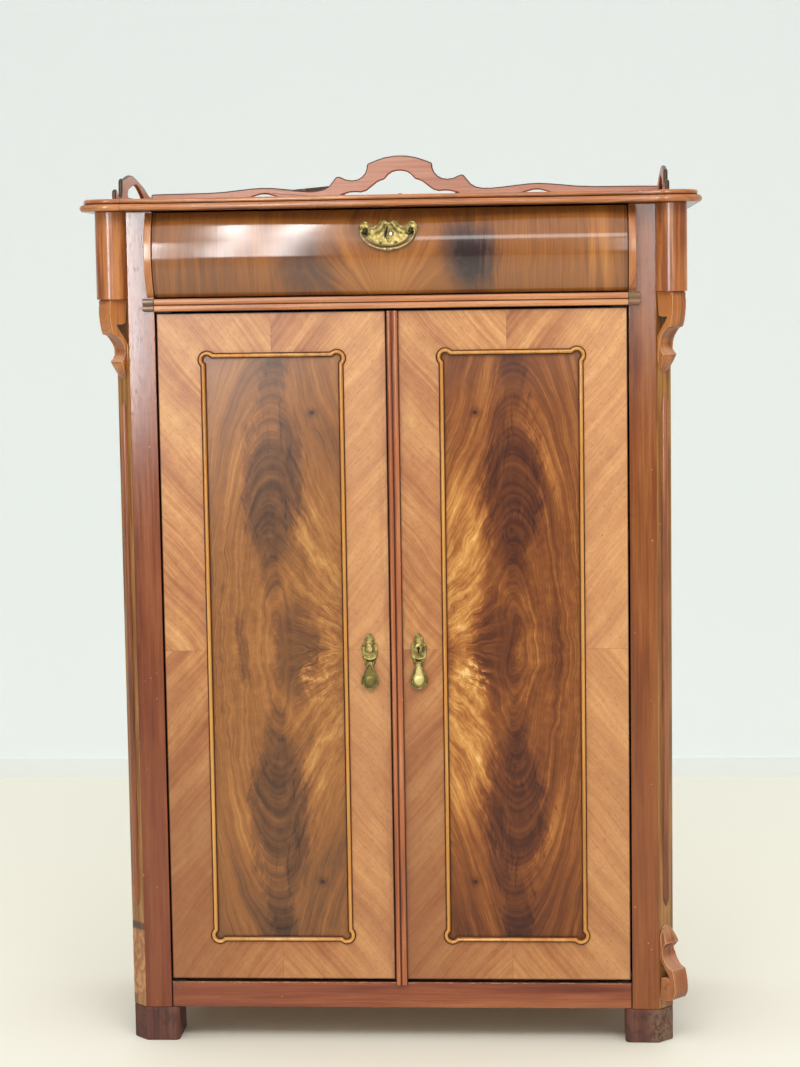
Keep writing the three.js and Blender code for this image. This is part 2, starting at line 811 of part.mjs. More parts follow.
function lowerBracket() {
  const shares = [...lowerScrollStartShares, ...scrollOuterShares.slice(2)];
  return bracket(bracketOutline(shares, lowerBracketHeight, (rise) => lowerBracketFoot + rise));
}

function beadRod() {
  const half = rodWidth / 2;
  const tip = rodTipWidth / 2;
  const stations = [];
  for (let i = 0; i <= beadFacets; i += 1) {
    const share = i / beadFacets;
    stations.push([rodBottom + rodPoint * share, tip + (half - tip) * Math.sin((Math.PI / 2) * share)]);
  }
  for (let i = beadFacets; i >= 0; i -= 1) {
    const share = i / beadFacets;
    stations.push([rodTop - rodPoint * share, tip + (half - tip) * Math.sin((Math.PI / 2) * share)]);
  }
  const rings = stations.map(([z, radius]) => {
    const ring = [];
    for (let i = 0; i <= tubeFacets; i += 1) {
      const angle = (Math.PI * i) / tubeFacets;
      ring.push(onCant(radius * Math.cos(angle), fitGap + radius * Math.sin(angle), z));
    }
    return ring;
  });
  const cap = (ring) => ring.map((point, i) => {
    const angle = (Math.PI * i) / tubeFacets;
    return new THREE.Vector2(Math.cos(angle), Math.sin(angle));
  });
  return loft(rings, cap);
}

// Gallery

// The carving stands a little to the left of the cupboard's middle, but its ends reach both sides
function galleryBack() {
  const base = topTop + fitGap;
  const rear = backY - galleryBackInset;
  const place = ([across, up]) => {
    const shift = Math.abs(across) === 1 ? 0 : galleryMiddleX;
    return [across * galleryHalfLength + shift, base + up * galleryHeight];
  };
  const outline = mirrorOutline(galleryBackShares).map(place);
  const opening = mirrorOutline(galleryOpeningShares).map(place);
  const lenses = [-lensMiddleShare, lensMiddleShare].map((middle) =>
    lensShares.map(([across, up]) => place([middle + across, up])));
  return prismY(outline, rear - galleryThickness, rear, [opening, ...lenses]);
}

function gallerySide() {
  const base = topTop + fitGap;
  const front = frontY + gallerySideSetback;
  const rear = backY - galleryBackInset - galleryThickness - fitGap;
  const place = ([along, up]) => [front + along * (rear - front), base + up * gallerySideHeight];
  const outline = gallerySideShares.map(place);
  const opening = sideOpeningShares.map(place);
  return prismX(outline, gallerySideX - galleryThickness, gallerySideX, [opening]);
}

// Doors

// Middle line of a door's raised moulding with its outset round corners, inside to the left
function mouldingPath() {
  const half = panelMouldingWidth / 2;
  const left = panelMouldingInner + earInset;
  const right = panelMouldingOuter - earInset;
  const low = panelMouldingBottom + earInset;
  const high = panelMouldingTop - earInset;
  const radius = earOuterRadius - half;
  const reach = Math.asin((earInset - half) / radius);
  const quarter = Math.PI / 2;
  const corners = [
    [left, low, 2 * quarter],
    [right, low, -quarter],
    [right, high, 0],
    [left, high, quarter],
  ];
  const path = [];
  for (const [x, z, turn] of corners) {
    const from = turn - (quarter - reach);
    const to = turn + 2 * quarter - reach;
    for (let i = 0; i <= earFacets; i += 1) {
      const angle = from + ((to - from) * i) / earFacets;
      path.push([x + radius * Math.cos(angle), z + radius * Math.sin(angle)]);
    }
  }
  return path;
}

function mouldingProfile() {
  const points = [];
  for (let i = 0; i <= beadFacets; i += 1) {
    const angle = (Math.PI * i) / beadFacets;
    points.push([(panelMouldingWidth / 2) * Math.cos(angle), panelMouldingReach * Math.sin(angle)]);
  }
  return points;
}

function panelMoulding() {
  return ringMoulding(mouldingPath(), mouldingProfile(), doorFrontY - fitGap);
}

function doorPanel() {
  const front = doorFrontY + panelRecess;
  return prismY(grow(mouldingPath(), -fitGap), front, front + panelThickness);
}

// A door's frame on the right-hand side of the cupboard, from its meeting edge to its hinge edge
function doorFrame(meeting) {
  const outline = [
    [meeting, doorBottom],
    [doorOuterX, doorBottom],
    [doorOuterX, doorTop],
    [meeting, doorTop],
  ];
  const slab = prismY(outline, doorFrontY, doorRearY, [mouldingPath()]);
  const bore = (pivotRadius + pinGap) / Math.cos(Math.PI / boreFacets);
  const depth = pivotReach + pocketGap;
  return cut(
    slab,
    cylinderZ(bore, doorTop - depth, doorTop + overcut, pivotX, pivotY),
    cylinderZ(bore, doorBottom - overcut, doorBottom + depth, pivotX, pivotY),
  );
}

// The channel for a sliding bolt with a narrow slot for its knob, from its rest to its full travel
function boltChannel(from, to, knobFrom, knobTo) {
  const half = boltWidth / 2 + slideGap;
  const knobHalf = boltKnobWidth / 2 + slideGap;
  const rear = doorRearY - boltCover;
  const front = rear - boltThickness - slideGap;
  const channel = block(boltX - half, boltX + half, front, rear + slideGap, from, to);
  const slot = block(boltX - knobHalf, boltX + knobHalf, rear, doorRearY + overcut, knobFrom, knobTo);
  return join(channel, slot);
}

function leftDoorFrame() {
  const frame = mirrored(doorFrame(-leftMeetingX));
  const topEnd = doorTop - boltRest;
  const bottomEnd = doorBottom + boltRest;
  const topKnob = topEnd - boltLength + boltKnobFromEnd;
  const bottomKnob = bottomEnd + boltLength - boltKnobFromEnd - boltKnobHeight;
  const strikeRear = lockBoltRearY() + pocketGap;
  const strikeFront = strikeRear - lockBoltThickness - 2 * pocketGap;
  return cut(
    frame,
    boltChannel(
      topEnd - boltLength - slideGap, doorTop + overcut,
      topKnob - slideGap, topKnob + boltKnobHeight + boltTravel + slideGap,
    ),
    boltChannel(
      doorBottom - overcut, bottomEnd + boltLength + slideGap,
      bottomKnob - boltTravel - slideGap, bottomKnob + boltKnobHeight + slideGap,
    ),
    block(
      leftMeetingX - lockBoltTravel - pocketGap, leftMeetingX + overcut, strikeFront, strikeRear,
      lockBoltBottom - pocketGap, lockBoltBottom + lockBoltHeight + pocketGap,
    ),
  );
}

function slidingBolt(from, knobFrom) {
  const half = boltWidth / 2;
  const knobHalf = boltKnobWidth / 2;
  const rear = doorRearY - boltCover;
  const bar = block(boltX - half, boltX + half, rear - boltThickness, rear, from, from + boltLength);
  const knob = block(
    boltX - knobHalf, boltX + knobHalf, rear - boltThickness / 2, doorRearY + boltKnobReach,
    knobFrom, knobFrom + boltKnobHeight,
  );
  return join(bar, knob);
}

function topBolt() {
  const from = doorTop - boltRest - boltLength;
  return slidingBolt(from, from + boltKnobFromEnd);
}

function bottomBolt() {
  const from = doorBottom + boltRest;
  return slidingBolt(from, from + boltLength - boltKnobFromEnd - boltKnobHeight);
}

function lockBoltRearY() {
  return doorRearY - lockBoltCover;
}

function rightDoorFrame() {
  const frame = doorFrame(rightMeetingX);
  const pocketFront = doorRearY - lockCaseDepth - fitGap;
  const caseEnd = rightMeetingX + lockCaseReach + fitGap;
  return cut(
    frame,
    block(
      rightMeetingX - overcut, caseEnd, pocketFront, doorRearY + overcut,
      lockCaseBottom - fitGap, lockCaseTop + fitGap,
    ),
    cylinderY(keyholeRadius, doorFrontY - overcut, pocketFront + overcut, rightPullX, keyholeZ),
  );
}

function lockBoltFromX() {
  return rightMeetingX + 2 * fitGap;
}

function doorLockCase() {
  const from = rightMeetingX + fitGap;
  const to = rightMeetingX + lockCaseReach;
  const body = block(from, to, doorRearY - lockCaseDepth, doorRearY, lockCaseBottom, lockCaseTop);
  const rear = lockBoltRearY() + slideGap;
  const front = rear - lockBoltThickness - 2 * slideGap;
  const end = lockBoltFromX() + lockBoltLength + slideGap;
  return cut(body, block(
    from - overcut, end, front, rear,
    lockBoltBottom - slideGap, lockBoltBottom + lockBoltHeight + slideGap,
  ));
}

function doorLockBolt() {
  const from = lockBoltFromX();
  const rear = lockBoltRearY();
  const front = rear - lockBoltThickness;
  return block(from, from + lockBoltLength, front, rear, lockBoltBottom, lockBoltBottom + lockBoltHeight);
}

// The reeded strip on the right door's meeting edge
function centreStrip() {
  const left = rightMeetingX;
  const base = doorFrontY - fitGap;
  const rightStart = left + stripLeftReed + stripGroove;
  const sections = [[left, stripLeftReed], [rightStart, left + stripWidth - rightStart]];
  const outline = [[left + stripWidth, base], [left, base]];
  for (const [start, width] of sections) {
    for (let i = 0; i <= edgeFacets; i += 1) {
      const angle = Math.PI * (1 - i / edgeFacets);
      const rise = (stripReach / 2) * (1 + Math.sin(angle));
      outline.push([start + (width / 2) * (1 + Math.cos(angle)), base - rise]);
    }
  }
  return prismZ(outline, doorBottom - stripLap, doorTop);
}

// A pivot plate fixed above or below the right door, with its pin in the door
function pivotHinge(plateFrom, pinTo) {
  const outer = halfOpening - fitGap;
  const front = doorFrontY + fitGap;
  const plateTo = plateFrom + pivotPlateThickness;
  const plate = block(outer - pivotPlateLength, outer, front, front + pivotPlateDepth, plateFrom, plateTo);
  const middle = (plateFrom + plateTo) / 2;
  const pin = cylinderZ(pivotRadius, Math.min(middle, pinTo), Math.max(middle, pinTo), pivotX, pivotY);
  return join(plate, pin);
}

function topPivot() {
  return pivotHinge(drawerRailBottom - fitGap - pivotPlateThickness, doorTop - pivotReach);
}

function bottomPivot() {
  return pivotHinge(bottomRailTop + fitGap, doorBottom + pivotReach);
}

// A door's escutcheon with the two lugs that carry its drop
function escutcheon(middleX, pierced) {
  const place = ([across, up]) =>
    [middleX + across * escutcheonHalfWidth, escutcheonFoot + up * escutcheonHeight];
  const outline = mirrorOutline(escutcheonShares).map(place);
  const rear = doorFrontY - fitGap;
  const front = rear - escutcheonThickness;
  const plate = prismY(outline, front, rear);
  const boss = cylinderY(bossRadius, front - bossReach, front + escutcheonThickness / 2, middleX, keyholeZ);
  const lugs = [-1, 1].map((side) => {
    const inner = middleX + side * lugInner;
    const outer = middleX + side * lugOuter;
    const eye = cylinderX(lugRadius, Math.min(inner, outer), Math.max(inner, outer), dropAxisY, dropAxisZ);
    const arm = block(
      Math.min(inner, outer), Math.max(inner, outer), dropAxisY, front + escutcheonThickness / 2,
      dropAxisZ - lugRadius * Math.SQRT1_2, dropAxisZ + lugRadius * Math.SQRT1_2,
    );
    return join(eye, arm);
  });
  const bore = (dropPinRadius + pinGap) / Math.cos(Math.PI / boreFacets);
  const whole = join(plate, boss, ...lugs);
  const past = lugOuter + overcut;
  const drilled = cut(whole, cylinderX(bore, middleX - past, middleX + past, dropAxisY, dropAxisZ));
  if (!pierced) {
    return drilled;
  }
  const deep = rear + overcut;
  return cut(
    drilled,
    cylinderY(keyholeRadius, front - bossReach - overcut, deep, middleX, keyholeZ),
    block(
      middleX - keySlotWidth / 2, middleX + keySlotWidth / 2, front - bossReach - overcut, deep,
      keyholeZ - keySlotDrop, keyholeZ,
    ),
  );
}

// A flat pear-shaped drop on a barrel whose ends turn in the lugs
function dropPull(middleX) {
  const drawn = dropShares.map(([across, down]) => [across * dropHalfWidth, down * dropLength]);
  const half = [[neckHalfWidth, 0], [neckHalfWidth, drawn[0][1] / 2], ...drawn];
  const right = half.map(([x, down]) => [middleX + x, dropAxisZ - down]);
  const left = half.map(([x, down]) => [middleX - x, dropAxisZ - down]).reverse();
  const outline = [...right, [middleX, dropAxisZ - dropLength], ...left];
  const plate = prismY(outline, dropAxisY - dropThickness / 2, dropAxisY + dropThickness / 2);
  const inner = lugInner - fitGap;
  const outer = lugOuter - fitGap;
  const barrel = cylinderX(dropBarrelRadius, middleX - inner, middleX + inner, dropAxisY, dropAxisZ);
  const pin = cylinderX(dropPinRadius, middleX - outer, middleX + outer, dropAxisY, dropAxisZ);
  return join(plate, barrel, pin);
}

// Drawer

// The bulge of the drawer front, grown by a distance, as (y, z) points from bottom to top
function bulgeArc(distance, facets) {
  const half = Math.asin(bulgeChord / 2 / bulgeRadius);
  const points = [];
  for (let i = 0; i <= facets; i += 1) {
    const angle = half * ((2 * i) / facets - 1);
    const radius = bulgeRadius + distance;
    points.push([bulgeAxisY - radius * Math.cos(angle), bulgeAxisZ + radius * Math.sin(angle)]);
  }
  return points;
}

function drawerFront() {
  const rear = frontY + drawerFrontThickness;
  const outline = [...bulgeArc(0, bulgeFacets), [rear, drawerFrontTop], [rear, drawerFrontBottom]];
  const reach = halfOpening - drawerFrontGap;
  const body = prismX(outline, -reach, reach);
  const half = drawerBoltWidth / 2 + slideGap;
  const front = frontY + drawerBoltSetback - slideGap;
  const mortiseRear = frontY + drawerBoltSetback + drawerBoltThickness + slideGap;
  return cut(
    body,
    block(-half, half, front, mortiseRear, drawerMortiseBottom, drawerFrontTop + overcut),
    cylinderY(keyholeRadius, frontY - drawerBulge - overcut, front + slideGap, 0, drawerKeyholeZ),
  );
}

function drawerLockBolt() {
  const half = drawerBoltWidth / 2;
  const front = frontY + drawerBoltSetback;
  const top = drawerFrontTop - slideGap;
  return block(-half, half, front, front + drawerBoltThickness, top - drawerBoltHeight, top);
}

function drawerOuterX() {
  return halfOpening - drawerSideGap;
}

function drawerBackY() {
  return backPanelY - drawerRearSpace;
}

function drawerSide() {
  const outer = drawerOuterX();
  const front = frontY + drawerFrontThickness + fitGap;
  return block(outer - drawerBoard, outer, front, drawerBackY(), drawerRailTop + slideGap, drawerSideTop);
}

function drawerInnerX() {
  return drawerOuterX() - drawerBoard - fitGap;
}

function drawerBack() {
  const reach = drawerInnerX();
  const rear = drawerBackY();
  return block(-reach, reach, rear - drawerBoard, rear, drawerRailTop + slideGap, drawerSideTop);
}

function drawerBottom() {
  const reach = drawerInnerX();
  const front = frontY + drawerFrontThickness + fitGap;
  const rear = drawerBackY() - drawerBoard - fitGap;
  const bottom = drawerRailTop + drawerBottomRaise;
  return block(-reach, reach, front, rear, bottom, bottom + drawerBottomThickness);
}

// The bulged return on a post beside the drawer front
function friezeReturn() {
  const arc = bulgeArc(0, bulgeFacets);
  const outline = arc.map(([y, z]) => [y - fitGap, z]);
  outline.push([frontY - fitGap, drawerFrontTop]);
  outline.push([frontY - fitGap, drawerFrontBottom]);
  outline[0][0] = frontY - 2 * fitGap;
  outline[arc.length - 1][0] = frontY - 2 * fitGap;
  return prismX(outline, halfOpening, halfOpening + friezeReturnWidth);
}

function handlePlate() {
  const place = ([across, up]) => [across * plateHalfWidth, plateBottom + up * plateHeight];
  const outline = mirrorOutline(plateShares).map(place);
  const slab = prismY(outline, frontY - drawerBulge - overcut, frontY);
  const widest = plateHalfWidth + overcut;
  const inside = bulgeArc(fitGap, 2 * bulgeFacets);
  const outside = bulgeArc(fitGap + plateThickness, 2 * bulgeFacets);
  const shell = prismX([...outside, ...inside.slice().reverse()], -widest, widest);
  const plate = fromSolid(toSolid(slab).intersect(toSolid(shell)));
  const posts = [-handlePostX, handlePostX].map((x) =>
    cylinderY(handlePostRadius, handleAxisY - handlePostPast, frontY, x, handlePostZ));
  const behind = [[frontY + overcut, drawerFrontTop], [frontY + overcut, drawerFrontBottom]];
  const drawerSolid = prismX([...inside, ...behind], -widest, widest);
  const whole = join(plate, ...posts.map((post) => cut(post, drawerSolid)));
  const bore = (bailRadius + pinGap) / Math.cos(Math.PI / boreFacets);
  const past = handlePostX + handlePostRadius + overcut;
  const drilled = cut(whole, cylinderX(bore, -past, past, handleAxisY, handlePostZ));
  const keyFront = frontY - drawerBulge - overcut;
  const slotHalf = keySlotWidth / 2;
  return cut(
    drilled,
    cylinderY(keyholeRadius, keyFront, frontY, 0, drawerKeyholeZ),
    block(-slotHalf, slotHalf, keyFront, frontY, drawerKeyholeZ - keySlotDrop, drawerKeyholeZ),
  );
}

function drawerBail() {
  const innerEnd = handlePostX - handlePostRadius + bailRadius;
  const half = [[innerEnd, handlePostZ], [bailArmX, handlePostZ]];
  const startAngle = Math.acos(bailArmX / bailHalfWidth);
  for (let i = 0; i <= bailFacets / 2; i += 1) {
    const angle = startAngle + ((Math.PI / 2 - startAngle) * i) / (bailFacets / 2);
    half.push([bailHalfWidth * Math.cos(angle), handlePostZ - bailDrop * Math.sin(angle)]);
  }
  const other = half.slice(0, -1).map(([x, z]) => [-x, z]).reverse();
  return roundBar([...half, ...other], bailRadius, handleAxisY);
}

// Materials

function material(colour, roughness, metalness) {
  return new THREE.MeshStandardMaterial({ color: new THREE.Color(colour), roughness, metalness });
}

const woods = {
  carcase: 0x8a4f33,
  border: 0xc0834f,
  flame: 0xa86a3c,
  strip: 0x6e3422,
  trim: 0xb9793f,
  inside: 0xc9a36c,
};
const metals = { brass: 0xc9b463, iron: 0x4a4744 };

function wood(name) {
  return material(woods[name], 0.35, 0);
}

function metal(name) {
  return material(metals[name], 0.35, 1);
}

const group = new THREE.Group();
group.name = "parlour_cupboard";

function add(name, geometry, look) {
  const mesh = new THREE.Mesh(geometry, look);
  mesh.name = name;
  group.add(mesh);
}

function addPair(name, geometry, look) {
  add(`right_${name}`, geometry, look());
  add(`left_${name}`, mirrored(geometry), look());
}

addPair("side_panel", sidePanel(), () => wood("carcase"));
addPair("front_post", frontPost(), () => wood("carcase"));
add("back_panel", backPanel(), wood("inside"));
add("floor_board", floorBoard(), wood("inside"));
add("bottom_front_rail", bottomFrontRail(), wood("carcase"));
add("drawer_rail", drawerRail(), wood("carcase"));
add("rail_moulding", railMoulding(), wood("trim"));
addPair("moulding_return", mouldingReturn(), () => wood("trim"));
add("dust_board", dustBoard(), wood("inside"));
addPair("drawer_guide", drawerGuide(), () => wood("inside"));
add("upper_shelf", shelf(upperShelfTop), wood("inside"));
add("lower_shelf", shelf(lowerShelfTop), wood("inside"));
addPair("front_foot", frontFoot(), () => wood("carcase"));
addPair("rear_foot", rearFoot(), () => wood("carcase"));
add("top_board", topBoard(), wood("trim"));
addPair("column_drum", columnDrum(), () => wood("trim"));
addPair("upper_bracket", upperBracket(), () => wood("trim"));
add("right_lower_bracket", lowerBracket(), wood("trim"));
addPair("bead_rod", beadRod(), () => wood("strip"));
add("gallery_back", galleryBack(), wood("border"));
addPair("gallery_side", gallerySide(), () => wood("border"));
addPair("frieze_return", friezeReturn(), () => wood("trim"));

const rightTopPivot = topPivot();
const rightBottomPivot = bottomPivot();
addPair("top_pivot", rightTopPivot, () => metal("brass"));
addPair("bottom_pivot", rightBottomPivot, () => metal("brass"));

add("left_door_frame", leftDoorFrame(), wood("border"));
add("right_door_frame", rightDoorFrame(), wood("border"));
addPair("door_panel", doorPanel(), () => wood("flame"));
addPair("panel_moulding", panelMoulding(), () => wood("trim"));
add("centre_strip", centreStrip(), wood("strip"));
add("left_escutcheon", escutcheon(leftPullX, false), metal("brass"));
add("right_escutcheon", escutcheon(rightPullX, true), metal("brass"));
add("left_drop_pull", dropPull(leftPullX), metal("brass"));
add("right_drop_pull", dropPull(rightPullX), metal("brass"));
add("left_top_bolt", topBolt(), metal("iron"));
add("left_bottom_bolt", bottomBolt(), metal("iron"));
add("door_lock_case", doorLockCase(), metal("iron"));
add("door_lock_bolt", doorLockBolt(), metal("iron"));

add("drawer_front", drawerFront(), wood("flame"));
addPair("drawer_side", drawerSide(), () => wood("inside"));
add("drawer_back", drawerBack(), wood("inside"));
add("drawer_bottom", drawerBottom(), wood("inside"));
add("drawer_handle_plate", handlePlate(), metal("brass"));
add("drawer_bail", drawerBail(), metal("brass"));
add("drawer_lock_bolt", drawerLockBolt(), metal("iron"));

export default group;
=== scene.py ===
import math

import bmesh
import bpy
from mathutils import Matrix, Vector


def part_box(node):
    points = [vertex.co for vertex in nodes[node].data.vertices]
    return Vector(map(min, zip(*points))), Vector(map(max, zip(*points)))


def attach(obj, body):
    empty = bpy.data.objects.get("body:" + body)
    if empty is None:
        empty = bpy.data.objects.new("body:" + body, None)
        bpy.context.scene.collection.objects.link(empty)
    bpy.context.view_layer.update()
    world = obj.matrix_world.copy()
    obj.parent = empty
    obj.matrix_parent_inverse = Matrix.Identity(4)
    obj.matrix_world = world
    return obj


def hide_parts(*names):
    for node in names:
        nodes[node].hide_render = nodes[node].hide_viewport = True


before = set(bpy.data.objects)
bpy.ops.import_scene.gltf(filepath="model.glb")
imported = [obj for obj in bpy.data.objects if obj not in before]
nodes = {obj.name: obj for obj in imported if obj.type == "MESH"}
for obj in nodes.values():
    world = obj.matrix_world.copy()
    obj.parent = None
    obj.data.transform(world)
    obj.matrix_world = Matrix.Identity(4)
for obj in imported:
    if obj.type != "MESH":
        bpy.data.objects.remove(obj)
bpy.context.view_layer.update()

MM = 0.001

# Measures read from the frame, in metres
front_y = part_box("left_front_post")[0].y
half_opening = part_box("right_front_post")[0].x
door_low, door_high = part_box("right_door_frame")
meeting_x = (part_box("left_door_frame")[1].x + door_low.x) / 2
door_middle_z = (door_low.z + door_high.z) / 2
top_low, top_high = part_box("top_board")
rail_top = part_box("bottom_front_rail")[1].z
top_groove_z = top_low.z + 12.4 * MM
ear_mitre_x = top_high.x - 74.9 * MM


# Camera

def place_camera():
    """The photograph's own view, fitted to its corners: eye height, small turn, tilt and roll."""
    eye = Vector((0.28735, -4.27235, 1.31462))
    turn, tilt, roll = 0.0673989, -0.1029664, -0.0152947
    focal_pixels, image_height, sensor_height = 2418.915, 1067, 36
    right = Vector((math.cos(turn), math.sin(turn), 0))
    forward = Vector((-math.sin(turn) * math.cos(tilt), math.cos(turn) * math.cos(tilt), math.sin(tilt)))
    up = right.cross(forward)
    rolled_right = right * math.cos(roll) + up * math.sin(roll)
    rolled_up = up * math.cos(roll) - right * math.sin(roll)
    data = bpy.data.cameras.new("photo_view")
    data.sensor_fit = "VERTICAL"
    data.sensor_height = sensor_height
    data.lens = focal_pixels * sensor_height / image_height
    data.dof.use_dof = False
    camera = bpy.data.objects.new("photo_view", data)
    bpy.context.scene.collection.objects.link(camera)
    turned = Matrix((rolled_right, rolled_up, -forward)).transposed().to_4x4()
    camera.matrix_world = Matrix.Translation(eye) @ turned
    bpy.context.scene.camera = camera


# Node trees written as sums

def math_method(operation, swapped=False):
    """A method that adds a Math node of two inputs; swapped puts the other value first."""
    def method(self, other):
        return self.paint.math(operation, *((other, self) if swapped else (self, other)))
    return method


class Field:
    """A number or colour worked out by nodes. Sums and products of fields add Math nodes."""

    def __init__(self, paint, socket):
        self.paint = paint
        self.socket = socket

    __add__ = __radd__ = math_method("ADD")
    __mul__ = __rmul__ = math_method("MULTIPLY")
    __sub__, __rsub__ = math_method("SUBTRACT"), math_method("SUBTRACT", swapped=True)
    __truediv__ = math_method("DIVIDE")
    above, below, most = math_method("GREATER_THAN"), math_method("LESS_THAN"), math_method("MAXIMUM")

    def __abs__(self):
        return self.paint.math("ABSOLUTE", self)

    def root(self):
        return self.paint.math("SQRT", self.most(0))

    def log(self):
        return self.paint.math("LOGARITHM", self, math.e)

    def step(self, low, high):
        """A soft step from 0 at low to 1 at high; low may be the larger."""
        return self.paint.soft_step(self, low, high)

    def bump(self, middle, width):
        """1 at the middle, falling softly to 0 a width away."""
        return 1 - abs(self - middle).step(0, width)


class Paint:
    """One material whose colours and gloss are painted by nodes in the object's own metres."""

    def __init__(self, name):
        self.material = bpy.data.materials.new(name)
        self.material.use_nodes = True
        self.tree = self.material.node_tree
        self.shader = self.tree.nodes["Principled BSDF"]
        self._axes = {}

    def connect(self, socket, value):
        if isinstance(value, Field):
            self.tree.links.new(value.socket, socket)
        else:
            socket.default_value = value

    def math(self, operation, *values):
        node = self.tree.nodes.new("ShaderNodeMath")
        node.operation = operation
        for socket, value in zip(node.inputs, values):
            self.connect(socket, value)
        return Field(self, node.outputs[0])

    def soft_step(self, value, low, high):
        node = self.tree.nodes.new("ShaderNodeMapRange")
        node.interpolation_type = "SMOOTHSTEP"
        self.connect(node.inputs["Value"], value)
        flipped = low > high
        node.inputs["From Min"].default_value = min(low, high)
        node.inputs["From Max"].default_value = max(low, high)
        node.inputs["To Min"].default_value = 1 if flipped else 0
        node.inputs["To Max"].default_value = 0 if flipped else 1
        return Field(self, node.outputs["Result"])

    def axes(self, output):
        """An output of the object's own coordinates as three fields, made once."""
        if output not in self._axes:
            coordinates = self.tree.nodes.new("ShaderNodeTexCoord")
            split = self.tree.nodes.new("ShaderNodeSeparateXYZ")
            self.tree.links.new(coordinates.outputs[output], split.inputs[0])
            self._axes[output] = [Field(self, socket) for socket in split.outputs]
        return self._axes[output]

    def place(self):
        """The surface point in metres in the part's own frame."""
        return self.axes("Object")

    def facing(self):
        """The surface normal."""
        return self.axes("Normal")

    def curvature(self):
        """How a dense mesh bends: below 0.5 in hollows and above it on ridges."""
        return Field(self, self.tree.nodes.new("ShaderNodeNewGeometry").outputs["Pointiness"])

    def vector(self, x, y, z):
        node = self.tree.nodes.new("ShaderNodeCombineXYZ")
        for socket, value in zip(node.inputs, (x, y, z)):
            self.connect(socket, value)
        return Field(self, node.outputs[0])

    def noise(self, x, y, z, detail=2.0, roughness=0.5, distortion=0.0):
        """Noise from 0 to 1 at coordinates counted in its own waves."""
        node = self.tree.nodes.new("ShaderNodeTexNoise")
        node.inputs["Scale"].default_value = 1
        node.inputs["Detail"].default_value = detail
        node.inputs["Roughness"].default_value = roughness
        node.inputs["Distortion"].default_value = distortion
        self.connect(node.inputs["Vector"], self.vector(x, y, z))
        return Field(self, node.outputs[0])

    def cells(self, x, y, z):
        """Distance to the nearest of scattered points, in the coordinates' own units."""
        node = self.tree.nodes.new("ShaderNodeTexVoronoi")
        node.inputs["Scale"].default_value = 1
        self.connect(node.inputs["Vector"], self.vector(x, y, z))
        return Field(self, node.outputs["Distance"])

    def ramp(self, value, *stops):
        """Colours along a value: stops are (place, colour)."""
        node = self.tree.nodes.new("ShaderNodeValToRGB")
        fill_ramp(node, [(at, tone(colour)) for at, colour in stops])
        self.connect(node.inputs[0], value)
        return Field(self, node.outputs[0])

    def mix(self, share, first, second, blend="MIX"):
        node = self.tree.nodes.new("ShaderNodeMix")
        node.data_type = "RGBA"
        node.blend_type = blend
        self.connect(node.inputs["Factor"], share)
        for socket, value in ((node.inputs[6], first), (node.inputs[7], second)):
            self.connect(socket, value if isinstance(value, Field) else tone(value))
        return Field(self, node.outputs[2])

    def relief(self, height, distance):
        """Fine relief: height from 0 to 1 stands for a distance in metres."""
        node = self.tree.nodes.new("ShaderNodeBump")
        node.inputs["Distance"].default_value = distance
        self.connect(node.inputs["Height"], height)
        self.tree.links.new(node.outputs[0], self.shader.inputs["Normal"])

    def finish(self, colour, roughness, **settings):
        """Sets the shader; wood is given a weak sheen, so its colours stay deep."""
        settings.setdefault("specular_ior_level", 0.3)
        base = colour if isinstance(colour, Field) else tone(colour)
        self.connect(self.shader.inputs["Base Color"], base)
        self.connect(self.shader.inputs["Roughness"], roughness)
        for name, value in settings.items():
            self.connect(self.shader.inputs[name.replace("_", " ").title().replace("Ior", "IOR")], value)
        return self.material


def fill_ramp(node, stops):
    elements = node.color_ramp.elements
    while len(elements) < len(stops):
        elements.new(0.5)
    for element, (at, colour) in zip(elements, stops):
        element.position = at
        element.color = colour


def tone(colour):
    """A colour given in 0 to 255 display levels, as linear light."""
    linear = []
    for level in colour:
        share = level / 255
        linear.append(share / 12.92 if share <= 0.04045 else ((share + 0.055) / 1.055) ** 2.4)
    return (*linear, 1.0)


# Woods

def patch(across, up, middle, reach, lean=0.0):
    """A soft oval patch, 1 in its middle and 0 outside; lean turns its long axis, in degrees."""
    right = (across - middle[0]) / reach[0]
    high = (up - middle[1]) / reach[1]
    if lean:
        turn = math.radians(lean)
        first, second = across - middle[0], up - middle[1]
        right = (first * math.cos(turn) + second * math.sin(turn)) / reach[0]
        high = (second * math.cos(turn) - first * math.sin(turn)) / reach[1]
    return (right * right + high * high).root().step(1, 0)


def millimetres(paint):
    return [field / MM for field in paint.place()]


def nicks(paint, x, y, z, spacing, reach):
    """Small chips, rare and uneven: 1 on a chip."""
    spot = paint.cells(x / spacing, y / spacing, z / spacing)
    return spot.step(reach, reach * 0.6) * paint.noise(x / 60, y / 60, z / 60, detail=1).step(0.5, 0.62)


def grain(paint, across, along, seed=0.0):
    """Mahogany figure from grain coordinates in mm: (stripe, streak, pore), each from 0 to 1."""
    stripe = paint.noise(across / 26, along / 420, seed, detail=3, roughness=0.55)
    streak = paint.noise(across / 3.6, along / 130, seed + 3.1, detail=2, roughness=0.6)
    pore = paint.noise(across / 0.7, along / 13, seed + 7.7, detail=1).step(0.62, 0.72)
    return stripe, streak, pore


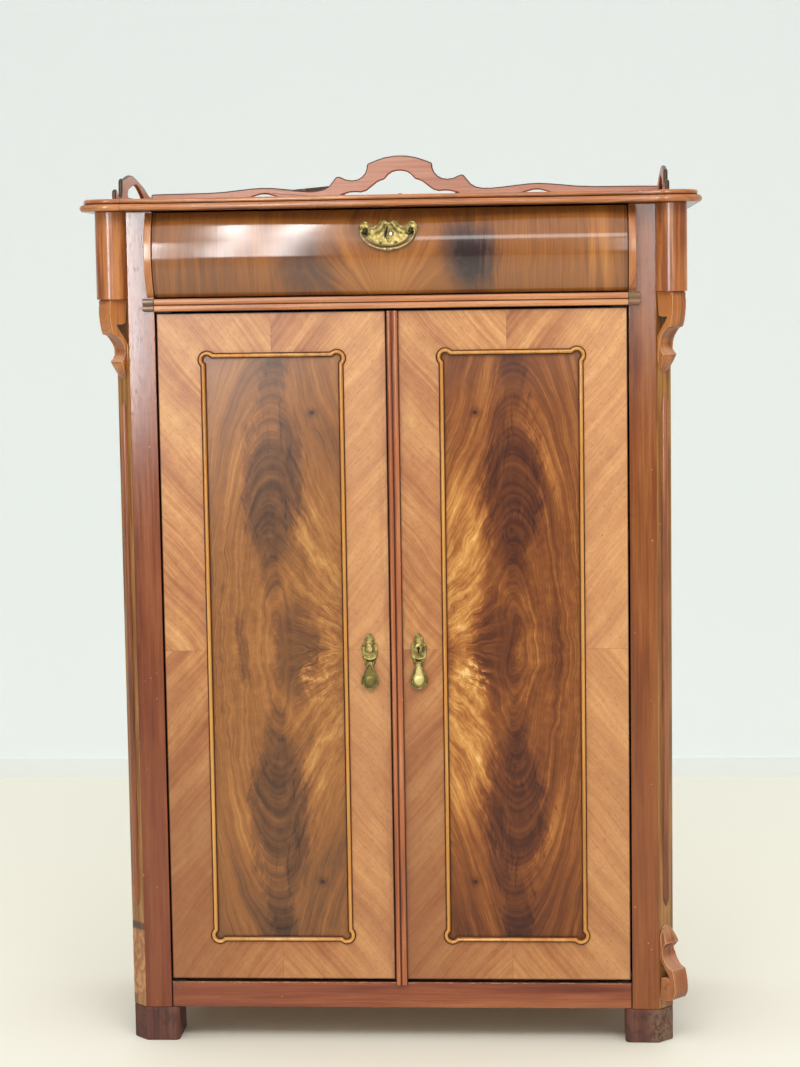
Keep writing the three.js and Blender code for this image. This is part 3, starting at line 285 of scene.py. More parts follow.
def plain_wood(paint, x, y, z, tones, across_along, seed, contrast=1.0):
    """Mahogany colour and gloss variation along a grain: tones are dark, middle and light."""
    across, along = across_along(x, y, z)
    stripe, streak, pore = grain(paint, across, along, seed)
    level = 0.5 + (stripe - 0.5) * (0.75 * contrast) + (streak - 0.5) * (0.4 * contrast)
    colour = paint.ramp(level, (0.3, tones[0]), (0.5, tones[1]), (0.7, tones[2]))
    colour = paint.mix(pore * 0.4, colour, tones[0])
    return colour, streak, pore


def upright(x, y, z):
    return x + y * 0.9, z


def level_x(x, y, z):
    return z + y * 0.9, x


def level_y(x, y, z):
    return z + x * 0.9, y


def stile_wood(name, tones, foot_tone, seed, ghost=False):
    """A front post: red-brown veneer, painted shade on its inner edge beside the door gap, an olive canted
    corner and small chips.
    A ghost is the raw patch on the canted corner where a lower bracket has come off."""
    paint = Paint(name)
    x, y, z = millimetres(paint)
    side, front, _ = paint.facing()
    colour, streak, pore = plain_wood(paint, x, y, z, tones, upright, seed)
    mottle = paint.noise(x / 30, y / 30, z / 110, detail=3)
    colour = paint.mix(mottle.step(0.5, 0.75) * 0.35, colour, tones[2])
    colour = paint.mix(z.step(1000, 300) * 0.35, colour, foot_tone)
    cant = (abs(side) * abs(front)).step(0.3, 0.45)
    cant_stripe = paint.noise(x / 9, y / 9, z / 160).step(0.35, 0.65)
    cant_tone = paint.mix(cant_stripe, (128, 84, 44), (168, 118, 62))
    colour = paint.mix(cant, colour, cant_tone)
    # painted shade: the inner face beside the door gap is darkened
    inner = abs(side).step(0.8, 0.95) * front.above(-0.5) * (abs(x) - half_opening / MM).below(3)
    colour = paint.mix(inner, colour, (80, 36, 22))
    if ghost:
        low, high = (corner.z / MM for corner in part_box("right_lower_bracket"))
        ragged = paint.noise(x / 8, y / 8, z / 12, detail=3)
        raw = cant * (z - low).step(-2, 2) * (z - high).step(-6, -16)
        bare = paint.mix(ragged.step(0.4, 0.6), (150, 96, 56), (190, 138, 86))
        colour = paint.mix(raw * 0.85, colour, bare)
        tip = cant * abs(z - high + 4).step(9, 4)
        colour = paint.mix(tip * 0.8, colour, (62, 34, 22))
    chips = nicks(paint, x, y, z, 16, 0.12)
    colour = paint.mix(chips * 0.6, colour, (198, 148, 108))
    paint.relief(1 - pore * 0.6 - chips, 0.0001)
    return paint.finish(colour, 0.13 + streak * 0.1, specular_ior_level=0.4)


def rail_wood():
    """The bottom rail: red-brown, darker towards the left, with chips along its top edge, painted shade on
    its upward faces and painted shade in the gaps at both ends.
    """
    paint = Paint("rail_mahogany")
    x, y, z = millimetres(paint)
    top = rail_top / MM
    colour, streak, pore = plain_wood(
        paint, x, y, z, ((108, 50, 34), (146, 80, 50), (172, 106, 68)), level_x, 2.9)
    colour = paint.mix(x.step(150, -380) * 0.4, colour, (122, 60, 44))
    edge = paint.noise(x / 9, y, z / 2, detail=2)
    wear = (z - top).step(-3.2, -0.6) * edge.step(0.52, 0.6)
    colour = paint.mix(wear * 0.8, colour, (206, 150, 108))
    chips = nicks(paint, x, y, z, 15, 0.08)
    colour = paint.mix(chips * 0.7, colour, (206, 160, 124))
    # painted shade: faces that point up, hidden under the doors and the drawer, are made nearly black
    upper = paint.facing()[2].above(0.6)
    colour = paint.mix(upper * 0.85, colour, (40, 20, 14))
    # painted shade in the gaps at both ends of the rail
    ends = (abs(x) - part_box("bottom_front_rail")[1].x / MM).step(-2.4, -1.0)
    colour = paint.mix(ends, colour, (34, 16, 10))
    paint.relief(1 - pore * 0.5 - chips, 0.0001)
    return paint.finish(colour, 0.28 + streak * 0.1)


def figured_wood(name, tones, across_along, gloss=0.3, coat=0.3, seed=0.0, contrast=1.0):
    """Plain mahogany with stripes, streaks and pores along its grain."""
    paint = Paint(name)
    x, y, z = millimetres(paint)
    colour, streak, pore = plain_wood(paint, x, y, z, tones, across_along, seed, contrast)
    paint.relief(1 - pore, 0.00006)
    return paint.finish(colour, gloss + streak * 0.1, coat_weight=coat, coat_roughness=0.16)


def side_wood():
    return figured_wood(
        "side_mahogany", ((98, 50, 32), (138, 78, 50), (164, 102, 66)), upright, seed=5.1)


amber_tones = ((132, 72, 34), (182, 112, 60), (206, 142, 86))


def drum_wood():
    """A column drum: amber with redder upright streaks."""
    paint = Paint("drum_mahogany")
    x, y, z = millimetres(paint)
    colour, streak, pore = plain_wood(paint, x, y, z, amber_tones, upright, 3.3)
    red = paint.noise(x / 14, y / 14, z / 200).step(0.45, 0.62)
    colour = paint.mix(red * 0.7, colour, (122, 58, 30))
    paint.relief(1 - pore, 0.00006)
    return paint.finish(colour, 0.2 + streak * 0.08, specular_ior_level=0.5)


def top_wood():
    """The top board: amber moulded edge with painted shade in its groove, a mitre line at each ear and
    painted shade on its underside.
    """
    paint = Paint("top_mahogany")
    x, y, z = millimetres(paint)
    colour, streak, pore = plain_wood(paint, x, y, z, amber_tones, level_x, 4.4)
    # painted shade: a dark line in the groove between the mouldings
    groove = (z - top_groove_z / MM).below(0.9) * (z - top_groove_z / MM).above(-1.1)
    colour = paint.mix(groove * 0.85, colour, (82, 44, 22))
    mitre = (abs(x) - ear_mitre_x / MM).below(0.5) * (abs(x) - ear_mitre_x / MM).above(-0.5)
    mitre = mitre * (y - front_y / MM).below(-18)
    colour = paint.mix(mitre * 0.8, colour, (90, 48, 24))
    # painted shade on faces that point down
    under = paint.facing()[2].below(-0.6)
    colour = paint.mix(under * 0.7, colour, (70, 36, 20))
    dirt = paint.noise(x / 40, y / 40, z / 8, detail=4).step(0.55, 0.75)
    colour = paint.mix(dirt * 0.35, colour, (112, 64, 34))
    chips = nicks(paint, x, y, z, 14, 0.1)
    colour = paint.mix(chips * 0.6, colour, (226, 190, 142))
    paint.relief(1 - pore - chips, 0.0001)
    return paint.finish(colour, 0.26 + dirt * 0.15 + streak * 0.06, coat_weight=0.35, coat_roughness=0.15)


def reed_wood():
    """The rail moulding: amber reeds with lines of painted shade in the groove and along both edges."""
    paint = Paint("reed_mahogany")
    x, y, z = millimetres(paint)
    low, high = (corner.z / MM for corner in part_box("rail_moulding"))
    colour, streak, _ = plain_wood(
        paint, x, y, z, ((146, 82, 44), (196, 128, 80), (218, 160, 112)), level_x, seed=6.1)
    middle = (low + high) / 2
    # painted shade: dark lines in the groove between the reeds and along both edges
    lines = abs(z - middle).step(1.6, 0.7).most((z - low).step(1.5, 0.6)).most((high - z).step(1.3, 0.4))
    colour = paint.mix(lines * 0.8, colour, (74, 34, 18))
    joint = abs(abs(x) - half_opening / MM).step(1.1, 0.5)
    colour = paint.mix(joint, colour, (40, 18, 10))
    return paint.finish(colour, 0.24 + streak * 0.1)


def strip_wood():
    """The centre strip: two dark red reeds, painted shade in the quirk at each side and in the groove
    between the reeds, and pale chips.
    """
    paint = Paint("strip_mahogany")
    x, y, z = millimetres(paint)
    low, high = (corner.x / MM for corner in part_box("centre_strip"))
    colour, streak, _ = plain_wood(
        paint, x, y, z, ((124, 60, 34), (178, 102, 58), (204, 134, 88)), upright, 8.3)
    # painted shade in the quirks at both sides and in the groove between the reeds
    lines = (x - low).step(1.6, 0.6).most((high - x).step(2.6, 1.2)).most(abs(x - low - 9.1).step(1.8, 0.8))
    colour = paint.mix(lines * 0.9, colour, (52, 20, 12))
    chips = nicks(paint, x, y, z, 12, 0.11) * (x - low).above(5)
    colour = paint.mix(chips * 0.8, colour, (226, 190, 170))
    return paint.finish(colour, 0.26 + streak * 0.1, coat_weight=0.35, coat_roughness=0.14)


def foot_wood(name, worn):
    """A front foot: dark, stained and, on the right, flaked to bare greyish wood."""
    paint = Paint(name)
    x, y, z = millimetres(paint)
    colour, streak, pore = plain_wood(
        paint, x, y, z, ((66, 36, 30), (102, 60, 48), (124, 78, 62)), upright, 9.4)
    stain = paint.noise(x / 16, y / 16, z / 26, detail=3).step(0.48, 0.62)
    colour = paint.mix(stain * 0.5, colour, (58, 38, 36))
    if worn:
        flake = paint.noise(x / 7, y / 7, z / 9, detail=4, roughness=0.7)
        edge = (x - half_body_mm()).step(-52, -22) * flake.step(0.45, 0.53)
        colour = paint.mix(edge * 0.9, colour, (126, 106, 82))
        colour = paint.mix(edge * flake.step(0.56, 0.62), colour, (78, 66, 44))
    chips = nicks(paint, x, y, z, 11, 0.12)
    colour = paint.mix(chips * 0.7, colour, (196, 150, 120))
    paint.relief(1 - stain * 0.4 - chips - pore * 0.4, 0.0004)
    return paint.finish(colour, 0.48 + streak * 0.15)


def half_body_mm():
    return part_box("right_front_post")[1].x / MM


def backed(paint, colour, across_along, turn=-0.5):
    """Plain mahogany where a veneered front's normal points back, past turn along the y axis."""
    x, y, z = millimetres(paint)
    tones = ((78, 40, 24), (116, 66, 40), (146, 90, 56))
    plain, *_ = plain_wood(paint, x, y, z, tones, across_along, 7.9, contrast=1.2)
    return paint.mix(paint.facing()[1].above(turn), colour, plain)


def border_wood(name, low, high, seed):
    """Quartered veneer of a door frame: four mirrored fields of slanting grain, plain edges and back."""
    paint = Paint(name)
    x, y, z = millimetres(paint)
    middle_x, middle_z = (low.x + high.x) / 2 / MM, door_middle_z / MM
    side = abs(x - middle_x)
    height = abs(z - middle_z)
    slant = math.radians(50)
    bend = (paint.noise(x / 160, z / 160, 3.0, detail=1) - 0.5) * 26
    across = height * math.cos(slant) - side * math.sin(slant) + bend
    along = height * math.sin(slant) + side * math.cos(slant)
    quarter = paint.math("SIGN", x - middle_x) * 2 + paint.math("SIGN", z - middle_z) * 5
    stripe = paint.noise(across / 34, along / 600, quarter, detail=2, roughness=0.5)
    streak = paint.noise(across / 5.5, along / 260, quarter + 20, detail=3, roughness=0.65)
    pore = paint.noise(across / 0.8, along / 11, 9.1, detail=1).step(0.6, 0.7)
    mottle = paint.noise(x / 24, z / 30, quarter + 40, detail=4, roughness=0.6)
    level = 0.5 + (stripe - 0.5) * 0.74 + (streak - 0.5) * 0.56 + (mottle - 0.5) * 0.3
    colour = paint.ramp(
        level, (0.26, (150, 90, 50)), (0.42, (182, 118, 68)), (0.54, (202, 140, 84)),
        (0.72, (222, 168, 106)))
    dull = paint.noise(x / 130, z / 170, seed, detail=2)
    colour = paint.mix(dull.step(0.42, 0.66) * 0.3, colour, (168, 108, 70))
    lit = (high.x / MM - x).step(160, 30) * 0.3
    colour = paint.mix(lit, colour, (234, 178, 124))
    shade = z.step(950, 150) * 0.25 + (x - low.x / MM).step(230, 0) * z.step(800, 300) * 0.45
    colour = paint.mix(shade, colour, (134, 80, 50))
    meeting = abs(x - meeting_x / MM - 8).step(34, 4) * paint.noise(x / 12, z / 90, 2.0).step(0.35, 0.6)
    colour = paint.mix(meeting * 0.55, colour, (158, 92, 62))
    seam = (abs(x - middle_x).step(0.8, 0.3)).most(abs(z - middle_z).step(0.8, 0.3))
    colour = paint.mix(seam * 0.3, colour, (120, 72, 40))
    colour = paint.mix(pore * 0.5, colour, (128, 76, 42))
    # painted shade: a dark line along the door's outer edges, beside the gaps
    rim = (x - low.x / MM).step(2.2, 0.4).most((high.x / MM - x).step(2.2, 0.4))
    rim = rim.most((high.z / MM - z).step(2.2, 0.4)).most((z - low.z / MM).step(3, 0.4))
    colour = paint.mix(rim * 0.75, colour, (66, 32, 18))
    chips = nicks(paint, x, y, z, 26, 0.06)
    colour = paint.mix(chips * 0.7, colour, (120, 70, 44))
    colour = backed(paint, colour, upright)
    paint.relief(1 - pore, 0.00006)
    return paint.finish(colour, 0.26 + streak * 0.1)


def flame_wood(name, low, high, inner_sign, tones, cast, feathers, flare, arches):
    """Crotch veneer of a door panel, mirrored at mid-height: nested arches on the hinge side, a broad
    ragged plume down the middle, a dark eye with a paler core, and feathers that run together at the
    meeting edge. Feathers, flare and arches are how strongly the feathers, the field round them and the
    nested arches show."""
    paint = Paint(name)
    x, _, z = millimetres(paint)
    middle_x, middle_z = (low.x + high.x) / 2 / MM, door_middle_z / MM
    drift = paint.noise(x / 120, z / 170, cast, detail=2) - 0.5
    curl = paint.noise(x / 34, z / 46, cast + 2, detail=2) - 0.5
    height = abs(z - middle_z + drift * 16)
    near = height.step(330, 40)
    across = (x - middle_x) * inner_sign + drift * 34 + curl * (near * 16 + 6)
    up = height + curl * near * 18

    ring = ((across + 4) * (across + 4) + (up / 4.2) * (up / 4.2)).root()
    arch = paint.noise(ring / 8, up / 380, cast + 4, detail=3, roughness=0.65)
    hair = paint.noise(ring / 1.9, up / 150, cast + 6, detail=2, roughness=0.6)
    fan = (up + 34).log() * 135 + across
    feather = paint.noise(fan / 23, across / 60, cast + 8, detail=4, roughness=0.66)
    barb = paint.noise(fan / 4.2, across / 44, cast + 10, detail=3, roughness=0.65)
    inner = (across + (feather - 0.5) * 60).step(0, 44)
    blot = paint.noise(across / 13, up / 34, cast + 12, detail=4, roughness=0.7)
    spot = paint.noise(across / 12, up / 15, cast + 13, detail=4, roughness=0.65)
    lower = (z - middle_z).step(12, -12)

    ragged = (arch - 0.5) * 24 + (barb - 0.5) * 26 + (blot - 0.5) * 60
    gold = patch(across, up, (66, 190), (56, 180), 14).most(patch(across, up, (92, 56), (54, 100)))
    leaf = gold * feather.step(0.36, 0.64) * blot.step(0.26, 0.6)
    field = patch(across, up, (88, 150), (60, 230)).step(0, 0.6)
    pale_arch = ring.bump(96, 15) * up.step(170, 260) * (1 - inner) * across.below(10)
    plume = patch(across + ragged, up, (-2, 290), (80, 215)).step(0.06, 0.55)
    plume = plume.most(patch(across + ragged, up, (-6, 450), (44, 130)).step(0.06, 0.7) * 0.8)
    rim = patch(across + ragged * 0.6, up, (32, 270), (26, 120)).step(0.1, 0.7)
    eye = patch(across + ragged * 0.7, up + ragged * 0.5, (26, 0), (86, 130), 4).step(0.06, 0.7)
    arc = patch(across + ragged * 0.4, up, (-68, 0), (17, 100)).step(0.05, 0.7)
    throat = patch(across + ragged * 0.6, up, (-10, 125), (30, 66)).step(0.1, 0.7)
    core = patch(across + ragged * 0.7, up + ragged * 0.5, (-26, 0), (48, 84)).step(0.1, 0.8)
    pale = patch(across + ragged * 0.6, up + ragged * 0.6, (70, 50), (56, 62)).step(0.15, 0.6)
    pale = pale * spot.step(0.46, 0.62) * feather.step(0.35, 0.55) * lower

    level = 0.45 + (arch - 0.5) * (1 - inner) * arches + (hair - 0.5) * (1 - inner) * 0.32
    level = level + (feather - 0.5) * inner * 0.56 + (barb - 0.5) * inner * 0.36
    level = level + leaf * feathers + field * flare + pale * 0.14 + pale_arch * 0.1
    level = level - plume * (1 - leaf * 0.6) * (1 - field * flare * 4) * (0.08 + blot * 0.2)
    level = level - rim * (1 - leaf) * 0.07 - arc * 0.13
    level = level - eye * (1 - core) * (1 - pale) * (1 - leaf * 0.6) * (0.05 + spot * 0.2) + core * 0.04
    level = level - throat * 0.1
    level = level - (z - middle_z).step(-280, -470) * 0.08 + (spot - 0.5) * (0.1 + near * 0.16)
    knot_halo = patch(across, up, (67, 408), (15, 14))
    knot = patch(across, up, (67, 408), (5, 5))
    level = level - knot_halo * 0.14 - knot * 0.3
    vein = paint.noise(across / 7, up / 60, cast + 14, detail=4, roughness=0.7).step(0.58, 0.64) * plume
    level = level - vein * 0.1

    places = (0.08, 0.22, 0.34, 0.46, 0.58, 0.72, 0.88)
    colour = paint.ramp(level, *zip(places, tones))
    pore = paint.noise(ring / 0.9, up / 12, cast + 16, detail=1).step(0.62, 0.72)
    colour = paint.mix(pore * 0.25, colour, tones[1])
    # painted sheen: a pale reflection painted over the top of the panel
    painted_sheen = (z - high.z / MM).step(-110, -5) * 0.12
    colour = paint.mix(painted_sheen, colour, (150, 112, 92))
    colour = backed(paint, colour, upright)
    return paint.finish(colour, 0.2 + hair * 0.06)


left_flame_tones = (
    (58, 36, 24), (90, 58, 36), (122, 78, 44), (152, 97, 50), (178, 120, 64), (202, 150, 86),
    (228, 200, 144))
right_flame_tones = (
    (46, 20, 10), (80, 36, 14), (108, 56, 22), (136, 76, 30), (172, 108, 50), (210, 148, 76),
    (234, 194, 126))


def drawer_flame():
    """The drawer front: upright stripes at both ends, two dark flames and a golden fan in the middle."""
    paint = Paint("drawer_flame")
    x, _, z = millimetres(paint)
    low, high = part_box("drawer_front")
    up = z - low.z / MM
    drift = paint.noise(x / 120, z / 120, 1.0, detail=2) - 0.5
    curl = paint.noise(x / 22, z / 26, 2.0, detail=3) - 0.5
    middle = patch(x, up, (-10, 60), (240, 160))
    across = x + drift * 20 + curl * middle * 14
    rise = up + 46
    spread = paint.math("ARCTAN2", across + 10, rise) * 120
    fan = middle.step(0.2, 0.65)
    line = spread * fan + across * (1 - fan)
    broad = paint.noise(line / 15, up / 260, 3.0, detail=3, roughness=0.6)
    fine = paint.noise(line / 3, up / 90, 4.0, detail=2, roughness=0.6)
    ragged = (broad - 0.5) * 40 + (fine - 0.5) * 14
    blot = paint.noise(across / 18, up / 22, 5.0, detail=4, roughness=0.65)

    left_dark = patch(across + ragged, up, (-138, 50), (80, 88))
    right_dark = patch(across + ragged, up + ragged * 0.4, (136, 62), (64, 92), 14)
    golden = patch(across, up, (-6, 20), (104, 92))
    streaks = patch(x, up, (352, 70), (46, 200)) * broad.step(0.4, 0.6)
    left_end = patch(x, up, (-310, 50), (120, 150))
    level = 0.46 + (broad - 0.5) * (0.24 + fan * 0.2) + (fine - 0.5) * 0.22
    level = level + golden * 0.12 + streaks * 0.14 - left_end * 0.06
    level = level - left_dark * (blot * 0.32 + 0.04) - right_dark * (blot * 0.62 + 0.16)
    colour = paint.ramp(
        level, (0.08, (50, 34, 32)), (0.22, (84, 56, 46)), (0.36, (120, 74, 42)), (0.48, (156, 96, 44)),
        (0.6, (180, 116, 54)), (0.75, (204, 146, 74)), (0.9, (226, 180, 108)))
    # painted sheen: the left dark flame is greyed as by a reflection
    colour = paint.mix(left_dark * 0.35, colour, (104, 76, 62))
    edge = (abs(x) - high.x / MM).step(-7, -5) * 0.6
    colour = paint.mix(edge, colour, (96, 50, 24))
    colour = backed(paint, colour, level_x, -0.2)
    return paint.finish(colour, 0.08 + fine * 0.03, specular_ior_level=0.7)


def gallery_wood(name, along_x):
    """Fretwork: salmon faces, dark olive upper edges and orange-brown edges inside the openings."""
    paint = Paint(name)
    x, y, z = millimetres(paint)
    tones = ((160, 104, 82), (194, 138, 112), (212, 162, 138))
    colour, streak, pore = plain_wood(paint, x, y, z, tones, level_x if along_x else level_y, 7.2, 0.8)
    side, front, top = paint.facing()
    face = abs(front if along_x else side).step(0.93, 0.99)
    edge_tone = paint.mix(top.step(-0.05, -0.2), (66, 50, 32), (150, 78, 34))
    colour = paint.mix(face, edge_tone, colour)
    paint.relief(1 - pore, 0.00006)
    return paint.finish(colour, 0.3 + streak * 0.12)


def bead_wood():
    """The panel moulding's bead: golden and glossy."""
    return figured_wood(
        "bead_mahogany", ((158, 92, 34), (206, 142, 66), (226, 172, 98)), upright, 0.2, 0.5, 5.7, 0.7)


def quirk_wood():
    """Painted shade in the quirks on both sides of the bead: dark mahogany."""
    return figured_wood(
        "quirk_mahogany", ((60, 30, 14), (88, 46, 20), (112, 62, 28)), upright, 0.5, 0.0, 6.7)


def carved_wood(name, tones):
    """The scroll brackets: painted light on upward faces, painted shade on downward faces and in the
    hollows, and lighter ridges from rubbed wear and a painted highlight.
    """
    paint = Paint(name)
    x, y, z = millimetres(paint)
    colour, streak, _ = plain_wood(paint, x, y, z, tones, upright, 3.9)
    curve = paint.curvature()
    top = paint.facing()[2]
    # painted light on faces that point up, painted shade on faces that point down
    colour = paint.mix(top.step(0.1, 0.7) * 0.35, colour, (208, 156, 118))
    colour = paint.mix(top.step(-0.15, -0.7) * 0.6, colour, (112, 58, 28))
    # painted shade in the hollows; the ridges are lighter as rubbed wear and as a painted highlight
    colour = paint.mix(curve.step(0.495, 0.46) * 0.8, colour, (88, 44, 22))
    colour = paint.mix(curve.step(0.515, 0.56) * 0.8, colour, (232, 184, 124))
    return paint.finish(colour, 0.2 + streak * 0.1, specular_ior_level=0.5)


def inside_wood(name, across_along, seed, board=0):
    """Bare softwood of the inside and the back, with growth rings, fibres and handling dirt.
    Board is the width in mm of the boards it is joined from."""
    paint = Paint(name)
    x, y, z = millimetres(paint)
    across, along = across_along(x, y, z)
    joint = None
    if board:
        number = paint.math("FLOOR", across / board)
        joint = abs(across - number * board - board / 2).step(board / 2 - 2.4, board / 2 - 0.8)
        across = across + number * 83
        along = along + number * 517
    wave = paint.noise(across / 140, along / 900, seed, detail=1)
    rings = paint.noise(across / 17 + wave * 9, along / 1200, seed + 2, detail=2, roughness=0.6)
    fibre = paint.noise(across / 1.1, along / 42, seed + 4, detail=1)
    dirt = paint.noise(across / 160, along / 200, seed + 6, detail=3)
    colour = paint.ramp(
        rings * 0.8 + fibre * 0.2, (0.32, (150, 106, 60)), (0.5, (188, 148, 98)), (0.65, (206, 172, 122)))
    colour = paint.mix(dirt.step(0.45, 0.75) * 0.4, colour, (132, 100, 66))
    if board:
        colour = paint.mix(joint, colour, (58, 38, 22))
    paint.relief(fibre, 0.0001)
    return paint.finish(colour, 0.72 + fibre * 0.12)


def brass(name, *marks):
    """Old brass: pale yellow, olive in its hollows, with a painted highlight on its ridges. A mark is an
    oval of dirt, bare metal, painted shade or painted highlight, in mm: (x, z, half width, half height,
    lean, colour)."""
    paint = Paint(name)
    x, y, z = millimetres(paint)
    cloud = paint.noise(x / 7, y / 7, z / 7, detail=4, roughness=0.6)
    colour = paint.ramp(cloud, (0.34, (92, 78, 36)), (0.5, (130, 114, 60)), (0.66, (170, 154, 96)))
    curve = paint.curvature()
    for mark_x, mark_z, half_width, half_height, lean, mark_colour in marks:
        mark = patch(x, z, (mark_x, mark_z), (half_width, half_height), lean).step(0.05, 0.4)
        colour = paint.mix(mark, colour, mark_colour)
    hollow = curve.step(0.5, 0.42)
    colour = paint.mix(hollow * 0.85, colour, (70, 60, 26))
    # painted highlight: ridges turn pale and bright
    colour = paint.mix(curve.step(0.52, 0.6) * 0.7, colour, (244, 238, 206))
    return paint.finish(colour, 0.28 + cloud * 0.16 + hollow * 0.2, metallic=0.7, specular_ior_level=0.5)


def hidden_brass():
    """The door pivots: brass painted nearly black as shade in the gaps."""
    paint = Paint("pivot_brass")
    x, y, z = millimetres(paint)
    cloud = paint.noise(x / 5, y / 5, z / 5, detail=3)
    colour = paint.ramp(cloud, (0.4, (26, 18, 12)), (0.65, (58, 44, 26)))
    return paint.finish(colour, 0.6, metallic=0.4)


def steel():
    paint = Paint("dark_steel")
    x, y, z = millimetres(paint)
    cloud = paint.noise(x / 8, y / 8, z / 8, detail=4)
    colour = paint.ramp(cloud, (0.35, (60, 54, 50)), (0.6, (104, 100, 96)))
    return paint.finish(colour, 0.38 + cloud * 0.2, metallic=1.0)


# Finishing of meshes

def smoothing_group(angle):
    """Geometry nodes that shade smooth except over edges sharper than the angle."""
    group = bpy.data.node_groups.new("smooth_by_angle", "GeometryNodeTree")
    group.interface.new_socket("Geometry", in_out="INPUT", socket_type="NodeSocketGeometry")
    group.interface.new_socket("Geometry", in_out="OUTPUT", socket_type="NodeSocketGeometry")
    start = group.nodes.new("NodeGroupInput")
    end = group.nodes.new("NodeGroupOutput")
    bare = group.nodes.new("GeometryNodeRemoveAttribute")
    bare.inputs["Name"].default_value = "custom_normal"
    faces = group.nodes.new("GeometryNodeSetShadeSmooth")
    faces.domain = "FACE"
    edges = group.nodes.new("GeometryNodeSetShadeSmooth")
    edges.domain = "EDGE"
    edges.inputs["Shade Smooth"].default_value = False
    bend = group.nodes.new("GeometryNodeInputMeshEdgeAngle")
    sharp = group.nodes.new("FunctionNodeCompare")
    sharp.operation = "GREATER_THAN"
    sharp.inputs["B"].default_value = angle
    link = group.links.new
    link(start.outputs[0], bare.inputs["Geometry"])
    link(bare.outputs[0], faces.inputs["Geometry"])
    link(faces.outputs[0], edges.inputs["Geometry"])
    link(bend.outputs["Unsigned Angle"], sharp.inputs["A"])
    link(sharp.outputs[0], edges.inputs["Selection"])
    link(edges.outputs[0], end.inputs[0])
    return group


smooth_group = smoothing_group(math.radians(32))


def soften(piece, edge, segments=2, weld=True):
    """Joins split corners, rounds sharp edges by the given width and shades the result smooth."""
    if weld:
        join = piece.modifiers.new("weld", "WELD")
        join.merge_threshold = 0.00001
        flat = piece.modifiers.new("flatten", "DECIMATE")
        flat.decimate_type = "DISSOLVE"
        flat.angle_limit = math.radians(0.4)
    if edge:
        bevel = piece.modifiers.new("edges", "BEVEL")
        bevel.width = edge
        bevel.segments = segments
        bevel.limit_method = "ANGLE"
        bevel.angle_limit = math.radians(34)
        bevel.use_clamp_overlap = False
    shade = piece.modifiers.new("shade", "NODES")
    shade.node_group = smooth_group
    if edge:
        flat_faces = piece.modifiers.new("flat_faces", "WEIGHTED_NORMAL")
        flat_faces.keep_sharp = True


def dress(name, material, slot, edge=0.0007, segments=2):
    """A CAD node keeps its mesh and gets a material and soft edges. The record slot is not used."""
    piece = nodes[name]
    for material_slot in piece.material_slots:
        material_slot.link = "OBJECT"
        material_slot.material = material
    soften(piece, edge, segments)
    return piece


# Stage and light

def plain_material(name, colour, roughness=0.9, glow=0.0):
    """A flat colour; glow brightens a backdrop for the camera and for reflections, and lights nothing."""
    paint = Paint(name)
    if glow:
        rays = paint.tree.nodes.new("ShaderNodeLightPath")
        seen = Field(paint, rays.outputs["Is Camera Ray"])
        for kind in ("Is Glossy Ray", "Is Transmission Ray"):
            seen = seen.most(Field(paint, rays.outputs[kind]))
        paint.connect(paint.shader.inputs["Emission Strength"], seen * glow)
        paint.shader.inputs["Emission Color"].default_value = tone(colour)
    return paint.finish(colour, roughness)


def stage_box(name, low, high, material):
    mesh = bpy.data.meshes.new(name)
    shape = bmesh.new()
    bmesh.ops.create_cube(shape, size=1)
    for vertex in shape.verts:
        share = vertex.co + Vector((0.5, 0.5, 0.5))
        vertex.co = Vector(low) + Vector([s * (b - a) for s, a, b in zip(share, low, high)])
    shape.to_mesh(mesh)
    shape.free()
    mesh.materials.append(material)
    piece = bpy.data.objects.new(name, mesh)
    bpy.context.scene.collection.objects.link(piece)
    return piece


def build_stage():
    """A pale floor and a wall far enough behind to leave every view free, with a low skirting at its
    foot. A slope that the floor's edge hides from the photograph's view joins the two."""
    floor_end, wall_y, wall_foot, skirting_height = 2.09, 6.8, -1.0, 0.12
    floor = plain_material("floor", (240, 237, 221), 0.6)
    stage_box("floor", (-9, -8, -0.05), (9, floor_end, 0), floor)
    slope_material = plain_material("slope", (240, 237, 221), 0.6, glow=0.12)
    slope = stage_box("slope", (-9, floor_end, -0.05), (9, wall_y, -0.01), slope_material)
    for vertex in slope.data.vertices:
        vertex.co.z += wall_foot * (vertex.co.y - floor_end) / (wall_y - floor_end)
    skirting_top = wall_foot + skirting_height
    skirting = plain_material("skirting", (238, 242, 241), glow=0.1)
    stage_box("skirting", (-14, wall_y - 0.02, -3), (14, wall_y + 0.1, skirting_top), skirting)
    wall = plain_material("wall", (241, 247, 248), glow=0.1)
    stage_box("wall", (-14, wall_y, skirting_top), (14, wall_y + 0.1, 8), wall)


def area_light(name, place, target, size, power, glossy_only=False):
    """A lamp; one that is glossy only shows as a reflection and adds no light to matt surfaces."""
    data = bpy.data.lights.new(name, "AREA")
    data.shape = "RECTANGLE"
    data.size, data.size_y = size
    data.energy = power
    light = bpy.data.objects.new(name, data)
    light.visible_diffuse = not glossy_only
    light.location = place
    light.rotation_euler = (Vector(target) - Vector(place)).to_track_quat("-Z", "Y").to_euler()
    light.visible_camera = False
    bpy.context.scene.collection.objects.link(light)
    return light


